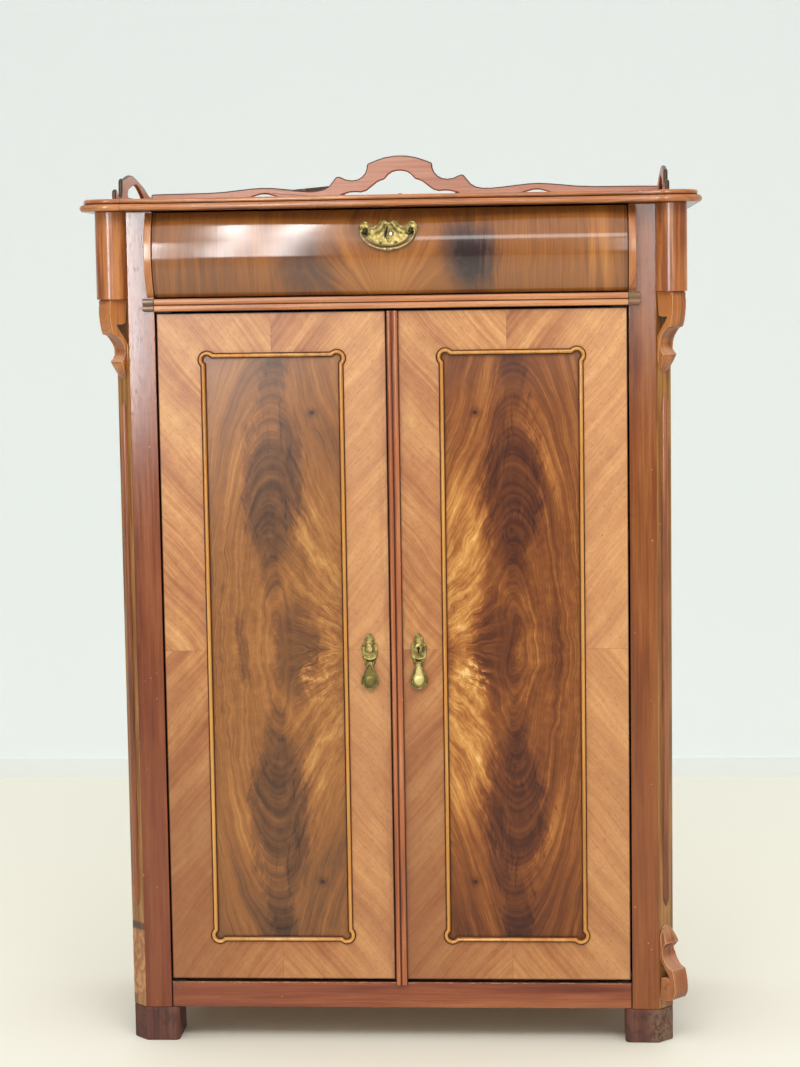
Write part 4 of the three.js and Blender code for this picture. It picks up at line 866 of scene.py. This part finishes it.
def build_lights():
    """A bright ceiling, a dim horizon, a tall window at the left and narrow panes, each of which goes on
    as a strip along the ceiling, so that its reflection runs over the drawer's bulge."""
    world = bpy.data.worlds.new("room")
    world.use_nodes = True
    tree = world.node_tree
    background = tree.nodes["Background"]
    direction = tree.nodes.new("ShaderNodeTexCoord")
    split = tree.nodes.new("ShaderNodeSeparateXYZ")
    ramp = tree.nodes.new("ShaderNodeValToRGB")
    tree.links.new(direction.outputs["Generated"], split.inputs[0])
    tree.links.new(split.outputs["Z"], ramp.inputs[0])
    tree.links.new(ramp.outputs[0], background.inputs["Color"])
    levels = ((0.0, 0.34), (0.1, 0.4), (0.4, 0.95), (1.0, 1.25))
    fill_ramp(ramp, [(at, (level, level, level, 1)) for at, level in levels])
    background.inputs["Strength"].default_value = 0.96
    bpy.context.scene.world = world
    ceiling = area_light("front_ceiling", (0.35, -2.7, 3.4), (0, 0, 0.9), (3.2, 1.2), 60)
    ceiling.visible_glossy = False
    area_light("window", (-1.3, -4.3, 1.9), (-1.3, 0, 1.9), (0.28, 2.0), 96, glossy_only=True)
    area_light("far_window", (0.7, -4.3, 1.9), (0.7, 0, 1.9), (0.25, 1.5), 23, glossy_only=True)
    panes = (
        ("pane_left", -0.86, 0.06, 13, 14), ("pane_right", -0.665, 0.085, 13, 15),
        ("curtain", -0.74, 0.27, 7, 7))
    for name, x, width, power, ceiling_power in panes:
        area_light(name, (x, -4.3, 2.3), (x, 0, 2.3), (width, 2.5), power, glossy_only=True)
        above = area_light(
            name + "_ceiling", (x + 0.11, -3.1, 3.5), (0, 0, 0), (width, 2.4), ceiling_power,
            glossy_only=True)
        above.rotation_euler = (0, 0, math.radians(-6.2))
    area_light("upper_band", (0.2, -4.3, 3.1), (0.2, 0, 3.1), (1.1, 0.5), 8, glossy_only=True)


# Assembly of the dressed nodes

def dress_carcase():
    rail = rail_wood()
    side = side_wood()
    amber_upright = figured_wood("amber_upright", amber_tones, upright, 0.24, 0.4, 3.3)
    drum = drum_wood()
    reed = reed_wood()
    return_reed = figured_wood(
        "return_reed_mahogany", ((84, 56, 34), (124, 88, 56), (156, 116, 80)), level_x, 0.3, 0.2, 6.6)
    strip = strip_wood()
    soft_upright = inside_wood("softwood_upright", upright, 1.0)
    soft_level = inside_wood("softwood_level", level_x, 2.0)
    soft_deep = inside_wood("softwood_deep", level_y, 3.0)
    gap_shaded_brass = hidden_brass()
    iron = steel()
    stiles = {
        "left": stile_wood(
            "left_stile", ((92, 36, 14), (130, 64, 28), (154, 88, 46)), (110, 46, 22), 1.3, ghost=True),
        "right": stile_wood(
            "right_stile", ((92, 42, 12), (132, 68, 24), (158, 96, 44)), (146, 82, 42), 2.6),
    }
    for hand in ("left", "right"):
        feet = foot_wood(f"{hand}_foot_wood", worn=hand == "right")
        rod = strip_rod(hand)
        fretwork = gallery_wood(f"{hand}_gallery_wood", along_x=False)
        for name, material, slot, *edge in (
                ("front_post", stiles[hand], "stile_veneer", 0.0012),
                ("side_panel", side, "stile_veneer", 0.001),
                ("front_foot", feet, "stile_veneer", 0.0025, 3),
                ("rear_foot", soft_upright, "inside_softwood", 0.002),
                ("moulding_return", return_reed, "amber_mahogany", 0.0008),
                ("column_drum", drum, "amber_mahogany", 0.0008),
                ("bead_rod", rod, "dark_strip", 0),
                ("frieze_return", amber_upright, "amber_mahogany", 0.0008),
                ("gallery_side", fretwork, "gallery_mahogany", 0.003, 4),
                ("drawer_guide", soft_deep, "inside_softwood", 0.001),
                ("drawer_side", soft_deep, "inside_softwood", 0.001),
                ("top_pivot", gap_shaded_brass, "aged_brass", 0.0003),
                ("bottom_pivot", gap_shaded_brass, "aged_brass", 0.0003)):
            dress(f"{hand}_{name}", material, slot, *edge)
    dress("gallery_back", gallery_wood("gallery_back_wood", True), "gallery_mahogany", 0.003, 4)
    dress("top_board", top_wood(), "amber_mahogany", 0.0005)
    dress("rail_moulding", reed, "amber_mahogany", 0.0004)
    dress("drawer_rail", rail, "stile_veneer")
    dress("bottom_front_rail", rail, "stile_veneer", 0.0015)
    dress("centre_strip", strip, "dark_strip", 0.0003)
    boards = inside_wood("softwood_boards", upright, 4.0, board=158)
    dress("back_panel", boards, "inside_softwood", 0.001)
    for name in (
            "floor_board", "dust_board", "upper_shelf", "lower_shelf", "drawer_back", "drawer_bottom"):
        dress(name, soft_level, "inside_softwood", 0.001)
    dress("drawer_front", drawer_flame(), "flame_veneer", 0.0008)
    for name in (
            "left_top_bolt", "left_bottom_bolt", "door_lock_case", "door_lock_bolt", "drawer_lock_bolt"):
        dress(name, iron, "dark_steel", 0.0004)


def strip_rod(hand):
    """A bead rod on a canted corner: plain red-brown mahogany."""
    tones = ((92, 44, 26), (142, 78, 44), (176, 112, 70))
    return figured_wood(f"{hand}_rod_wood", tones, upright, 0.24, 0.4, 2.2 if hand == "left" else 4.8)


def dress_doors():
    for hand, sign in (("left", -1), ("right", 1)):
        low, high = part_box(f"{hand}_door_frame")
        border = border_wood(f"{hand}_border", low, high, 6.5 + sign / 2)
        dress(f"{hand}_door_frame", border, "border_veneer", 0.0008)
        panel_low, panel_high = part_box(f"{hand}_door_panel")
        tones = left_flame_tones if hand == "left" else right_flame_tones
        cast, *shares = (1.5, 0.11, 0.05, 0.46) if hand == "left" else (5.2, 0.11, 0.2, 0.54)
        flame = flame_wood(f"{hand}_flame", panel_low, panel_high, -sign, tones, cast, *shares)
        dress(f"{hand}_door_panel", flame, "flame_veneer", 0.0006)


# New pieces

def new_piece(name, shape, materials, slot, body, *replaced):
    """Turns a shape into a piece that rides on a body and stands for any CAD nodes that are named."""
    bmesh.ops.recalc_face_normals(shape, faces=shape.faces)
    mesh = bpy.data.meshes.new(name)
    shape.to_mesh(mesh)
    shape.free()
    for material in materials:
        mesh.materials.append(material)
    piece = bpy.data.objects.new(name, mesh)
    bpy.context.scene.collection.objects.link(piece)
    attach(piece, body)
    if replaced:
        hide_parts(*replaced)
    return piece


def join_rings(shape, rings, closed=False, capped=True):
    """Faces between rings of corners that are already in the shape."""
    pairs = list(zip(rings, rings[1:]))
    if closed:
        pairs.append((rings[-1], rings[0]))
    made = []
    for low, high in pairs:
        count = len(low)
        for i in range(count):
            j = (i + 1) % count
            made.append(shape.faces.new((low[i], low[j], high[j], high[i])))
    if capped and not closed:
        made.append(shape.faces.new(list(reversed(rings[0]))))
        made.append(shape.faces.new(rings[-1]))
    return made


def smooth_path(points, steps):
    """A curve through a few corners, with a number of steps between each two."""
    path = []
    for i in range(len(points) - 1):
        before = Vector(points[max(i - 1, 0)])
        start, end = Vector(points[i]), Vector(points[i + 1])
        after = Vector(points[min(i + 2, len(points) - 1)])
        for step in range(steps):
            t = step / steps
            path.append(0.5 * (
                2 * start + (end - before) * t + (2 * before - 5 * start + 4 * end - after) * t * t
                + (3 * start - before - 3 * end + after) * t * t * t))
    path.append(Vector(points[-1]))
    return path


def moulding_path(low, high, inset, radius):
    """A rectangle in x and z whose corners are outset round ears; inset is the ears' centres' distance
    from the straight runs and radius the ears' own, all at the moulding's middle line."""
    quarter = math.pi / 2
    reach = math.asin(inset / radius)
    corners = ((low[0], low[1], 2), (high[0], low[1], -1), (high[0], high[1], 0), (low[0], high[1], 1))
    steps = 18
    path = []
    for x, z, turn in corners:
        start = turn * quarter - (quarter - reach)
        end = turn * quarter + 2 * quarter - reach
        for i in range(steps + 1):
            angle = start + (end - start) * i / steps
            path.append((x + radius * math.cos(angle), z + radius * math.sin(angle)))
    return path


def grow(path, distance):
    """A closed path with its inside to the left, moved outwards."""
    grown = []
    for i, (x, z) in enumerate(path):
        before, after = path[i - 1], path[(i + 1) % len(path)]
        first = Vector((z - before[1], before[0] - x)).normalized()
        second = Vector((after[1] - z, x - after[0])).normalized()
        corner = (first + second) / (1 + first.dot(second))
        grown.append((x + corner.x * distance, z + corner.y * distance))
    return grown


def panel_moulding(hand, bead, quirk):
    """The bead round a door's panel, between two quirks painted dark as shade."""
    low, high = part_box(f"{hand}_panel_moulding")
    ear_radius, width, ear_inset = 16 * MM, 9.5 * MM, 11.5 * MM
    middle_radius = ear_radius - width / 2
    path = moulding_path(
        (low.x + ear_radius, low.z + ear_radius), (high.x - ear_radius, high.z - ear_radius),
        ear_inset - width / 2, middle_radius)
    base, crown = high.y + 0.0003, low.y
    reach = base - crown
    bead_half = width * 0.33
    half_quirk = ((0.5, 0.0), (0.5, 0.36), (0.44, 0.42), (0.38, 0.16))
    profile = [(-width * out, reach * forward) for out, forward in half_quirk]
    bead_steps = 10
    for i in range(bead_steps + 1):
        angle = math.pi * (1 - i / bead_steps)
        profile.append((bead_half * math.cos(angle), reach * (0.3 + 0.7 * math.sin(angle))))
    profile += [(width * out, reach * forward) for out, forward in reversed(half_quirk)]
    shape = bmesh.new()
    rings = []
    for outward, forward in profile:
        rings.append([shape.verts.new((x, base - forward, z)) for x, z in grow(path, outward)])
    faces = join_rings(shape, rings, closed=True)
    count = len(path)
    bead_from = len(half_quirk)
    bead_to = bead_from + bead_steps
    for i, face in enumerate(faces):
        face.smooth = True
        face.material_index = 0 if bead_from <= i // count < bead_to else 1
    piece = new_piece(
        f"{hand}_panel_bead", shape, (bead, quirk), "amber_mahogany", f"{hand}_door",
        f"{hand}_panel_moulding")
    soften(piece, 0, weld=False)


def on_cant(side, along, out, up):
    """(along the canted face, out of it, up) as a point on the left (-1) or right (1) front corner."""
    post_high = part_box("right_front_post")[1]
    cant_leg = 25 * MM
    middle = Vector((post_high.x - cant_leg / 2, front_y + cant_leg / 2, 0))
    turn = math.sqrt(0.5)
    return Vector((side * (middle.x + (along + out) * turn), middle.y + (along - out) * turn, up))


# A scroll's side view in shares: (out of the corner, along its height from the roll)
scroll_roll_shares = (
    (0.0, 0.0), (0.5, 0.0), (1.0, 0.0), (1.04, 0.06), (1.06, 0.14), (1.05, 0.22), (1.01, 0.3),
    (0.95, 0.37), (0.87, 0.435))
low_roll_shares = (
    (0.0, 0.0), (0.2, 0.0), (0.42, 0.0), (0.7, 0.012), (0.9, 0.045), (1.01, 0.09), (1.06, 0.14),
    (1.05, 0.22), (1.01, 0.3), (0.95, 0.37), (0.87, 0.435))
scroll_hollow_shares = (
    (0.87, 0.435), (0.66, 0.452), (0.46, 0.5), (0.29, 0.565), (0.22, 0.625), (0.22, 0.68),
    (0.29, 0.73), (0.45, 0.775))
scroll_leaf_shares = ((0.45, 0.775), (0.34, 0.83), (0.2, 0.9), (0.08, 0.96), (0.01, 1.0))
scroll_inner_shares = (
    (0.0, 1.0), (0.0, 0.86), (0.0, 0.72), (0.0, 0.56), (0.1, 0.52), (0.3, 0.45), (0.5, 0.385),
    (0.66, 0.33), (0.72, 0.305), (0.35, 0.31), (0.0, 0.285))
roll_end, leaf_start = 0.435, 0.775


def scroll_bracket(node, side, upper, wood):
    """A carved scroll: convex roll, gouged hollow, a sharp ridge and a keeled, pointed leaf."""
    low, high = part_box(node)
    thickness = 33 * MM
    height = high.z - low.z
    roll = scroll_roll_shares if upper else low_roll_shares
    outer = []
    for shares, steps in ((roll, 4), (scroll_hollow_shares, 4), (scroll_leaf_shares, 4)):
        outer += smooth_path(shares, steps)[(1 if outer else 0):]
    stations = [(point.x, point.y, True) for point in outer]
    for first, second in zip(scroll_inner_shares, scroll_inner_shares[1:]):
        for step in (0, 1, 2):
            t = step / 3
            stations.append((*(a + (b - a) * t for a, b in zip(first, second)), False))
    shape = bmesh.new()
    rings = []
    slices = 26
    for k in range(slices + 1):
        across = math.sin((k / slices - 0.5) * math.pi)
        edge = math.exp(-((abs(across) - 1) / 0.07) ** 2) - math.exp(-((abs(across) - 0.8) / 0.1) ** 2)
        ring = []
        for out, along, front in stations:
            leaf = min(max((along - 0.79) / 0.21, 0), 1)
            narrow = math.sqrt(max(1 - leaf ** 1.7, 0)) * 0.93 + 0.07 if leaf else 1
            relief = 0
            if front and 0.02 < along <= roll_end:
                swell = math.sin(math.pi * along / 0.47) ** 0.5
                relief = 1.8 * MM * (1 - across ** 2) * swell + edge * 0.9 * MM
            elif front and roll_end < along < leaf_start:
                share = (along - roll_end) / 0.34
                relief = -4.2 * MM * (1 - across ** 6) * math.sin(math.pi * share) ** 0.6
            elif front and along >= leaf_start:
                relief = 3.4 * MM * (1 - abs(across)) * math.sin(math.pi * leaf * 0.9 + 0.1) - 0.4 * MM
            rise = along * height
            up = high.z - rise if upper else low.z + rise
            distance = max(out * thickness + relief, 0) + 0.0003
            ring.append(shape.verts.new(on_cant(side, across * thickness / 2 * narrow, distance, up)))
        rings.append(ring)
    join_rings(shape, rings)
    for face in shape.faces:
        face.smooth = True
    piece = new_piece(node + "_carved", shape, (wood,), "amber_mahogany", "carcase", node)
    fuse(piece, 0.0007, 2)


def edge_distance(outline, x, z):
    """The distance to a closed outline, positive inside it, and the nearest point on it."""
    best, nearest, inside = 1e9, None, False
    for i, (end_x, end_z) in enumerate(outline):
        start_x, start_z = outline[i - 1]
        run, rise = end_x - start_x, end_z - start_z
        if (start_z > z) != (end_z > z) and x < run * (z - start_z) / rise + start_x:
            inside = not inside
        share = ((x - start_x) * run + (z - start_z) * rise) / max(run * run + rise * rise, 1e-9)
        share = min(max(share, 0), 1)
        point = (start_x + share * run, start_z + share * rise)
        distance = math.hypot(x - point[0], z - point[1])
        if distance < best:
            best, nearest = distance, point
    return (best if inside else -best), nearest


def relief_plate(shape, outline, step, height, place):
    """A cast plate inside an outline in mm: height(x, z, distance from its edge) is its front above
    its back, and place(x, z, height) turns that into a point in metres."""
    left, low = (min(point[axis] for point in outline) for axis in (0, 1))
    right, high = (max(point[axis] for point in outline) for axis in (0, 1))
    columns, rows = math.ceil((right - left) / step), math.ceil((high - low) / step)
    cells = set()
    for i in range(columns):
        for j in range(rows):
            centre = (left + (i + 0.5) * step, low + (j + 0.5) * step)
            if edge_distance(outline, *centre)[0] > 0:
                cells.add((i, j))
    corners = {}

    def corner(i, j):
        if (i, j) not in corners:
            x, z = left + i * step, low + j * step
            inside, nearest = edge_distance(outline, x, z)
            around = ((i, j), (i - 1, j), (i, j - 1), (i - 1, j - 1))
            if not all(cell in cells for cell in around):
                (x, z), inside = nearest, 0
            front = shape.verts.new(place(x, z, height(x, z, max(inside, 0))))
            corners[(i, j)] = (front, shape.verts.new(place(x, z, 0)))
        return corners[(i, j)]

    for i, j in cells:
        loop = [corner(i, j), corner(i + 1, j), corner(i + 1, j + 1), corner(i, j + 1)]
        shape.faces.new([pair[0] for pair in loop])
        shape.faces.new([pair[1] for pair in reversed(loop)])
        sides = (((i, j - 1), 0, 1), ((i + 1, j), 1, 2), ((i, j + 1), 2, 3), ((i - 1, j), 3, 0))
        for neighbour, first, second in sides:
            if neighbour not in cells:
                a, b = loop[first], loop[second]
                shape.faces.new((a[0], a[1], b[1], b[0]))


def ball(shape, centre, radii, segments=16):
    """A ball, or an egg with three radii, added to a shape."""
    moved = Matrix.Translation(centre) @ Matrix.Diagonal((*radii, 1))
    bmesh.ops.create_uvsphere(
        shape, u_segments=segments, v_segments=segments // 2 + 2, radius=1, matrix=moved)


def bar(shape, path, radii, sides=14):
    """A round bar along a path in an upright plane, with a radius at each point."""
    rings = []
    for i, point in enumerate(path):
        along = (path[min(i + 1, len(path) - 1)] - path[max(i - 1, 0)]).normalized()
        out = Vector((0, 1, 0))
        if abs(along.y) > 0.9:
            out = Vector((1, 0, 0))
        across = along.cross(out).normalized()
        out = across.cross(along).normalized()
        ring = []
        for k in range(sides):
            angle = 2 * math.pi * k / sides
            spoke = out * math.cos(angle) + across * math.sin(angle)
            ring.append(shape.verts.new(point + spoke * radii[i]))
        rings.append(ring)
    join_rings(shape, rings)


def both_sides(half):
    """An outline from its right half, which runs from the bottom to the top."""
    right = [tuple(point) for point in smooth_path(half, 3)]
    left = [(-x, z) for x, z in reversed(right)]
    return right + left[(1 if right[-1][0] == 0 else 0):(-1 if right[0][0] == 0 else None)]


def ridge(x, z, path, width):
    """How close a point is to a line on both sides of the middle: 1 on it, falling to 0."""
    best = 1e9
    for (ax, az), (bx, bz) in zip(path, path[1:]):
        run, rise = bx - ax, bz - az
        share = ((abs(x) - ax) * run + (z - az) * rise) / (run * run + rise * rise)
        share = min(max(share, 0), 1)
        best = min(best, math.hypot(abs(x) - ax - share * run, z - az - share * rise))
    return math.exp(-(best / width) ** 2)


def dome(x, z, centre, radius):
    """The height share of a low dome: 1 over its middle and 0 from its foot outwards."""
    reach = math.hypot(x - centre[0], z - centre[1]) / radius
    return math.sqrt(max(1 - reach * reach, 0))


# The brasses' right half outlines and relief lines as (x, z) in mm
plate_half = (
    (0, 0), (13, 1.4), (24, 5.6), (32.5, 11), (38, 16.2), (44, 19.6), (49.2, 24.2), (50.8, 30.2),
    (48.4, 37), (43.5, 41), (38.5, 41.8), (33.6, 39.4), (30.2, 34.4), (26.5, 32.2), (21, 34.2),
    (16.5, 38.6), (12, 42.3), (7, 43), (3, 41.6), (0, 39.4))
outer_scroll = ((7, 41), (12, 38), (16, 32.5), (21, 29), (26, 28.4))
inner_scroll = ((4.8, 35), (8.4, 30), (11.6, 25), (16, 21.5), (21, 21))
wing_scroll = ((30, 20), (35, 16.4), (41, 18.5), (46, 23.5))


def plate_height(x, z, inside):
    """The drawer plate: raised rim, two scrolls each side, hollows round the posts, a pear-shaped cover."""
    height = 1.6 + 1.2 * math.exp(-((inside - 1.0) / 0.9) ** 2)
    height += 1.7 * ridge(x, z, outer_scroll, 1.3) + 1.6 * ridge(x, z, inner_scroll, 1.3)
    height += 0.9 * ridge(x, z, wing_scroll, 1.2)
    reach = math.hypot(abs(x) - 38.4, z - 26)
    height -= 1.1 * math.exp(-((reach - 6) / 2.2) ** 2)
    height += 2.2 * dome(x, z, (5, 20.5), 4.2) + 1.2 * dome(x, z, (3.6, 26), 2.6)
    if x < 0.5:
        height -= 1.2 * ridge(x, z, ((0, 10), (3, 22), (6, 36)), 1.6)
    height += 0.8 * dome(abs(x), z, (13.3, 5.4), 2.4)
    return max(height, 0.5)


def drawer_handle():
    """The pressed plate that follows the drawer's bulge, its two posts and the swelling bail."""
    low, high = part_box("drawer_handle_plate")
    axis_y, post_z, post_x = low.y + 4 * MM, low.z + 26 * MM, high.x - 12.4 * MM
    front_low, front_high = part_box("drawer_front")
    bulge_z = (front_low.z + front_high.z) / 2
    radius = 115 * MM
    centre_y = front_low.y + radius - 0.3 * MM

    def place(x, z, height):
        angle = math.asin((low.z + z * MM - bulge_z) / radius)
        reach = radius + height * MM
        return Vector((x * MM, centre_y - reach * math.cos(angle), bulge_z + reach * math.sin(angle)))

    shape = bmesh.new()
    relief_plate(shape, both_sides(plate_half), 0.7, plate_height, place)
    for side in (-1, 1):
        foot = place(side * post_x / MM, 26, 0.6)
        reach = foot.y - (axis_y - 4 * MM)
        shares = (
            (0, 4.4), (0.25, 4.2), (0.4, 3.0), (0.52, 3.4), (0.62, 4.3), (0.8, 4.4), (0.93, 3.2),
            (1.0, 1.2))
        path = [Vector((side * post_x, foot.y - share * reach, post_z)) for share, _ in shares]
        bar(shape, path, [width * MM for _, width in shares])
    # Marks: painted shade in the keyhole beside the cover, a painted highlight on the cover, painted shadow
    # round both posts, and the two dark pins.
    marks = (
        (-3.2, low.z / MM + 23.5, 3.2, 15, -14, (34, 28, 16)),
        (5, low.z / MM + 21, 3.0, 4.0, 0, (240, 236, 214)),
        (-38.6, low.z / MM + 24.5, 7.6, 7.2, 0, (52, 44, 20)),
        (38.6, low.z / MM + 24.5, 7.6, 7.2, 0, (52, 44, 20)),
        (-13.2, low.z / MM + 5.4, 2.6, 2.4, 0, (70, 60, 34)),
        (13.2, low.z / MM + 5.4, 2.6, 2.4, 0, (70, 60, 34)),
    )
    plate_brass = brass("plate_brass", *marks)
    piece = new_piece(
        "handle_plate_cast", shape, (plate_brass,), "aged_brass", "drawer", "drawer_handle_plate")
    fuse(piece, 0.00045, 2)

    arm = post_x + 7.1 * MM
    drop = 30.5 * MM
    path, radii = [], []
    steps = 56
    start = 0.06
    inner = post_x - 3.6 * MM
    for x in (inner, post_x, arm - 0.8 * MM):
        path.append(Vector((x, axis_y, post_z)))
        radii.append(1.7 * MM)
    for i in range(steps + 1):
        angle = start + (math.pi - 2 * start) * i / steps
        x, z = arm * math.cos(angle), post_z - drop * math.sin(angle)
        path.append(Vector((x, axis_y, z)))
        swell = 1.8 + 0.9 * max(math.sin(angle), 0) ** 6
        for centre, bump in ((-4.7, 0.7), (4.7, 0.7), (0, 0.9)):
            swell += bump * math.exp(-((x / MM - centre) / 1.1) ** 2)
        radii.append(swell * MM)
    for x in (arm - 0.8 * MM, post_x, inner):
        path.append(Vector((-x, axis_y, post_z)))
        radii.append(1.7 * MM)
    shape = bmesh.new()
    bar(shape, path, radii)
    piece = new_piece("bail_cast", shape, (brass("bail_brass"),), "aged_brass", "bail", "drawer_bail")
    soften(piece, 0, weld=False)


escutcheon_half = (
    (0, 0), (8.2, 0), (10, 5.6), (12.8, 14.3), (13.9, 23.2), (13.9, 31.8), (12.3, 36.4), (7, 38.2),
    (8.6, 41.2), (8.4, 44.8), (5.2, 48.2), (4.4, 51.6), (2.4, 53.4), (0, 53.4))
drop_half = (
    (0, 0), (4.4, 0.6), (9.8, 3.2), (14.8, 8.4), (15.3, 14.6), (13.2, 22.8), (9.5, 31.2), (5.8, 39.2),
    (4.6, 43), (4.6, 46.2), (0, 46.2))


def escutcheon_height(x, z, inside, pierced):
    """A door's escutcheon: crowned top, bright shoulders, a domed barrel and a boss for the key."""
    height = 1.4 + 0.9 * math.exp(-((inside - 0.9) / 0.8) ** 2)
    if z < 37:
        height += 1.5 * math.sqrt(max(1 - (x / 14.2) ** 2, 0)) * min(max((z - 2) / 10, 0), 1)
        height += 1.1 * ridge(x, z, ((0, 38.6), (6, 36.8), (12, 34)), 1.1)
        height += 0.7 * ridge(x, z, ((0, 8.8), (5, 9.4), (9.6, 12)), 1.0)
    height += 2.0 * dome(x, z, (0, 28.2), 8) ** 0.6
    height += 1.2 * dome(abs(x), z, (5.4, 44), 3.0) + 1.4 * dome(x, z, (0, 49.5), 3.4)
    if pierced:
        if math.hypot(x, z - 28.2) < 2.3 or (abs(x) < 1.2 and 20.2 < z < 28.2):
            height = 0.5
    else:
        height += 0.8 * ridge(x, z, ((0, 24), (0, 31), (1.8, 32)), 1.0)
    return height


def drop_height(x, z, inside):
    """A drop: a high rounded rim round a sunken, slightly raised field."""
    if z > 42:
        return 4.0
    rim = math.exp(-((inside - 1.4) / 1.1) ** 2)
    return 1.6 + 3.0 * rim + 0.7 * dome(x, z, (0, 15), 7) + (0.9 if inside < 0.8 else 0)


def door_brass(hand, pierced):
    """A door's escutcheon and the pear-shaped drop that swings from it."""
    low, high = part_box(f"{hand}_escutcheon")
    drop_low, drop_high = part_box(f"{hand}_drop_pull")
    middle_x = (low.x + high.x) / 2
    axis = Vector((middle_x, (drop_low.y + drop_high.y) / 2, drop_high.z - 2.4 * MM))

    def plate_place(x, z, height):
        return Vector((middle_x + x * MM, high.y - height * MM, low.z + z * MM))

    def drop_place(x, z, height):
        return Vector((middle_x + x * MM, axis.y + 2 * MM - height * MM, drop_low.z + z * MM))

    shape = bmesh.new()
    relief_plate(
        shape, both_sides(escutcheon_half), 0.55,
        lambda x, z, inside: escutcheon_height(x, z, inside, pierced), plate_place)
    for side in (-1, 1):
        lug = axis + Vector((side * 7.0 * MM, 0, 0))
        ball(shape, lug, (1.6 * MM, 2.9 * MM, 2.9 * MM))
        bar(shape, [Vector((lug.x, high.y - 0.6 * MM, lug.z)), lug], [1.9 * MM, 1.5 * MM], 10)
    keyhole_z = low.z / MM + 28.2
    marks = [(middle_x / MM, low.z / MM + 44, 6, 8, 0, (160, 146, 84))]
    if pierced:
        # painted shade in the keyhole and its slot
        marks.append((middle_x / MM, keyhole_z, 2.6, 2.6, 0, (14, 10, 6)))
        marks.append((middle_x / MM - 0.4, keyhole_z - 5, 1.7, 5.6, 0, (26, 20, 12)))
        marks.append((middle_x / MM + 8, keyhole_z - 3, 3.4, 8, 0, (84, 78, 50)))
    else:
        marks.append((middle_x / MM + 1, keyhole_z - 1, 4.5, 5.5, 0, (214, 178, 136)))
    material = brass(f"{hand}_escutcheon_brass", *marks)
    piece = new_piece(
        f"{hand}_escutcheon_cast", shape, (material,), "aged_brass", f"{hand}_door", f"{hand}_escutcheon")
    fuse(piece, 0.00036, 1)

    shape = bmesh.new()
    outline = both_sides(drop_half)
    relief_plate(shape, outline, 0.55, drop_height, drop_place)
    for offset, size in ((0, 2.7), (-3.4, 2.2), (3.4, 2.2)):
        ball(shape, axis + Vector((offset * MM, 0, 0)), (1.9 * MM, size * MM, size * MM))
    bar(shape, [axis - Vector((8.0 * MM, 0, 0)), axis + Vector((8.0 * MM, 0, 0))], [1.3 * MM, 1.3 * MM], 10)
    ball(shape, drop_place(0, 1.6, 2.2), (2.2 * MM, 1.6 * MM, 1.4 * MM))
    field = (200, 180, 116) if pierced else (108, 96, 46)
    corner = (96, 82, 36) if pierced else (72, 62, 30)
    field_z = drop_low.z / MM
    marks = (
        (middle_x / MM, field_z + 14.5, 16.5, 18, 0, corner),
        (middle_x / MM, field_z + 18, 12, 16, 0, field),
        (middle_x / MM, field_z + 33, 6.2, 17, 0, field),
    )
    material = brass(f"{hand}_drop_brass", *marks)
    piece = new_piece(
        f"{hand}_drop_cast", shape, (material,), "aged_brass", f"{hand}_drop", f"{hand}_drop_pull")
    fuse(piece, 0.00036, 1)


def fuse(piece, voxel, smoothing):
    """Melts overlapping forms into one skin with soft creases, like a casting or a carving."""
    remesh = piece.modifiers.new("fuse", "REMESH")
    remesh.mode = "VOXEL"
    remesh.voxel_size = voxel
    remesh.use_smooth_shade = True
    relax = piece.modifiers.new("relax", "SMOOTH")
    relax.iterations = smoothing
    relax.factor = 0.5


place_camera()
build_stage()
build_lights()
dress_carcase()
dress_doors()
bead = bead_wood()
quirk = quirk_wood()
for hand in ("left", "right"):
    panel_moulding(hand, bead, quirk)
upper_carving = carved_wood("upper_carving", ((128, 70, 32), (180, 110, 54), (206, 140, 80)))
lower_carving = carved_wood("lower_carving", ((100, 48, 24), (144, 80, 42), (178, 112, 66)))
scroll_bracket("left_upper_bracket", -1, True, upper_carving)
scroll_bracket("right_upper_bracket", 1, True, upper_carving)
scroll_bracket("right_lower_bracket", 1, False, lower_carving)
drawer_handle()
door_brass("left", False)
door_brass("right", True)

bpy.context.scene.view_settings.view_transform = "Standard"
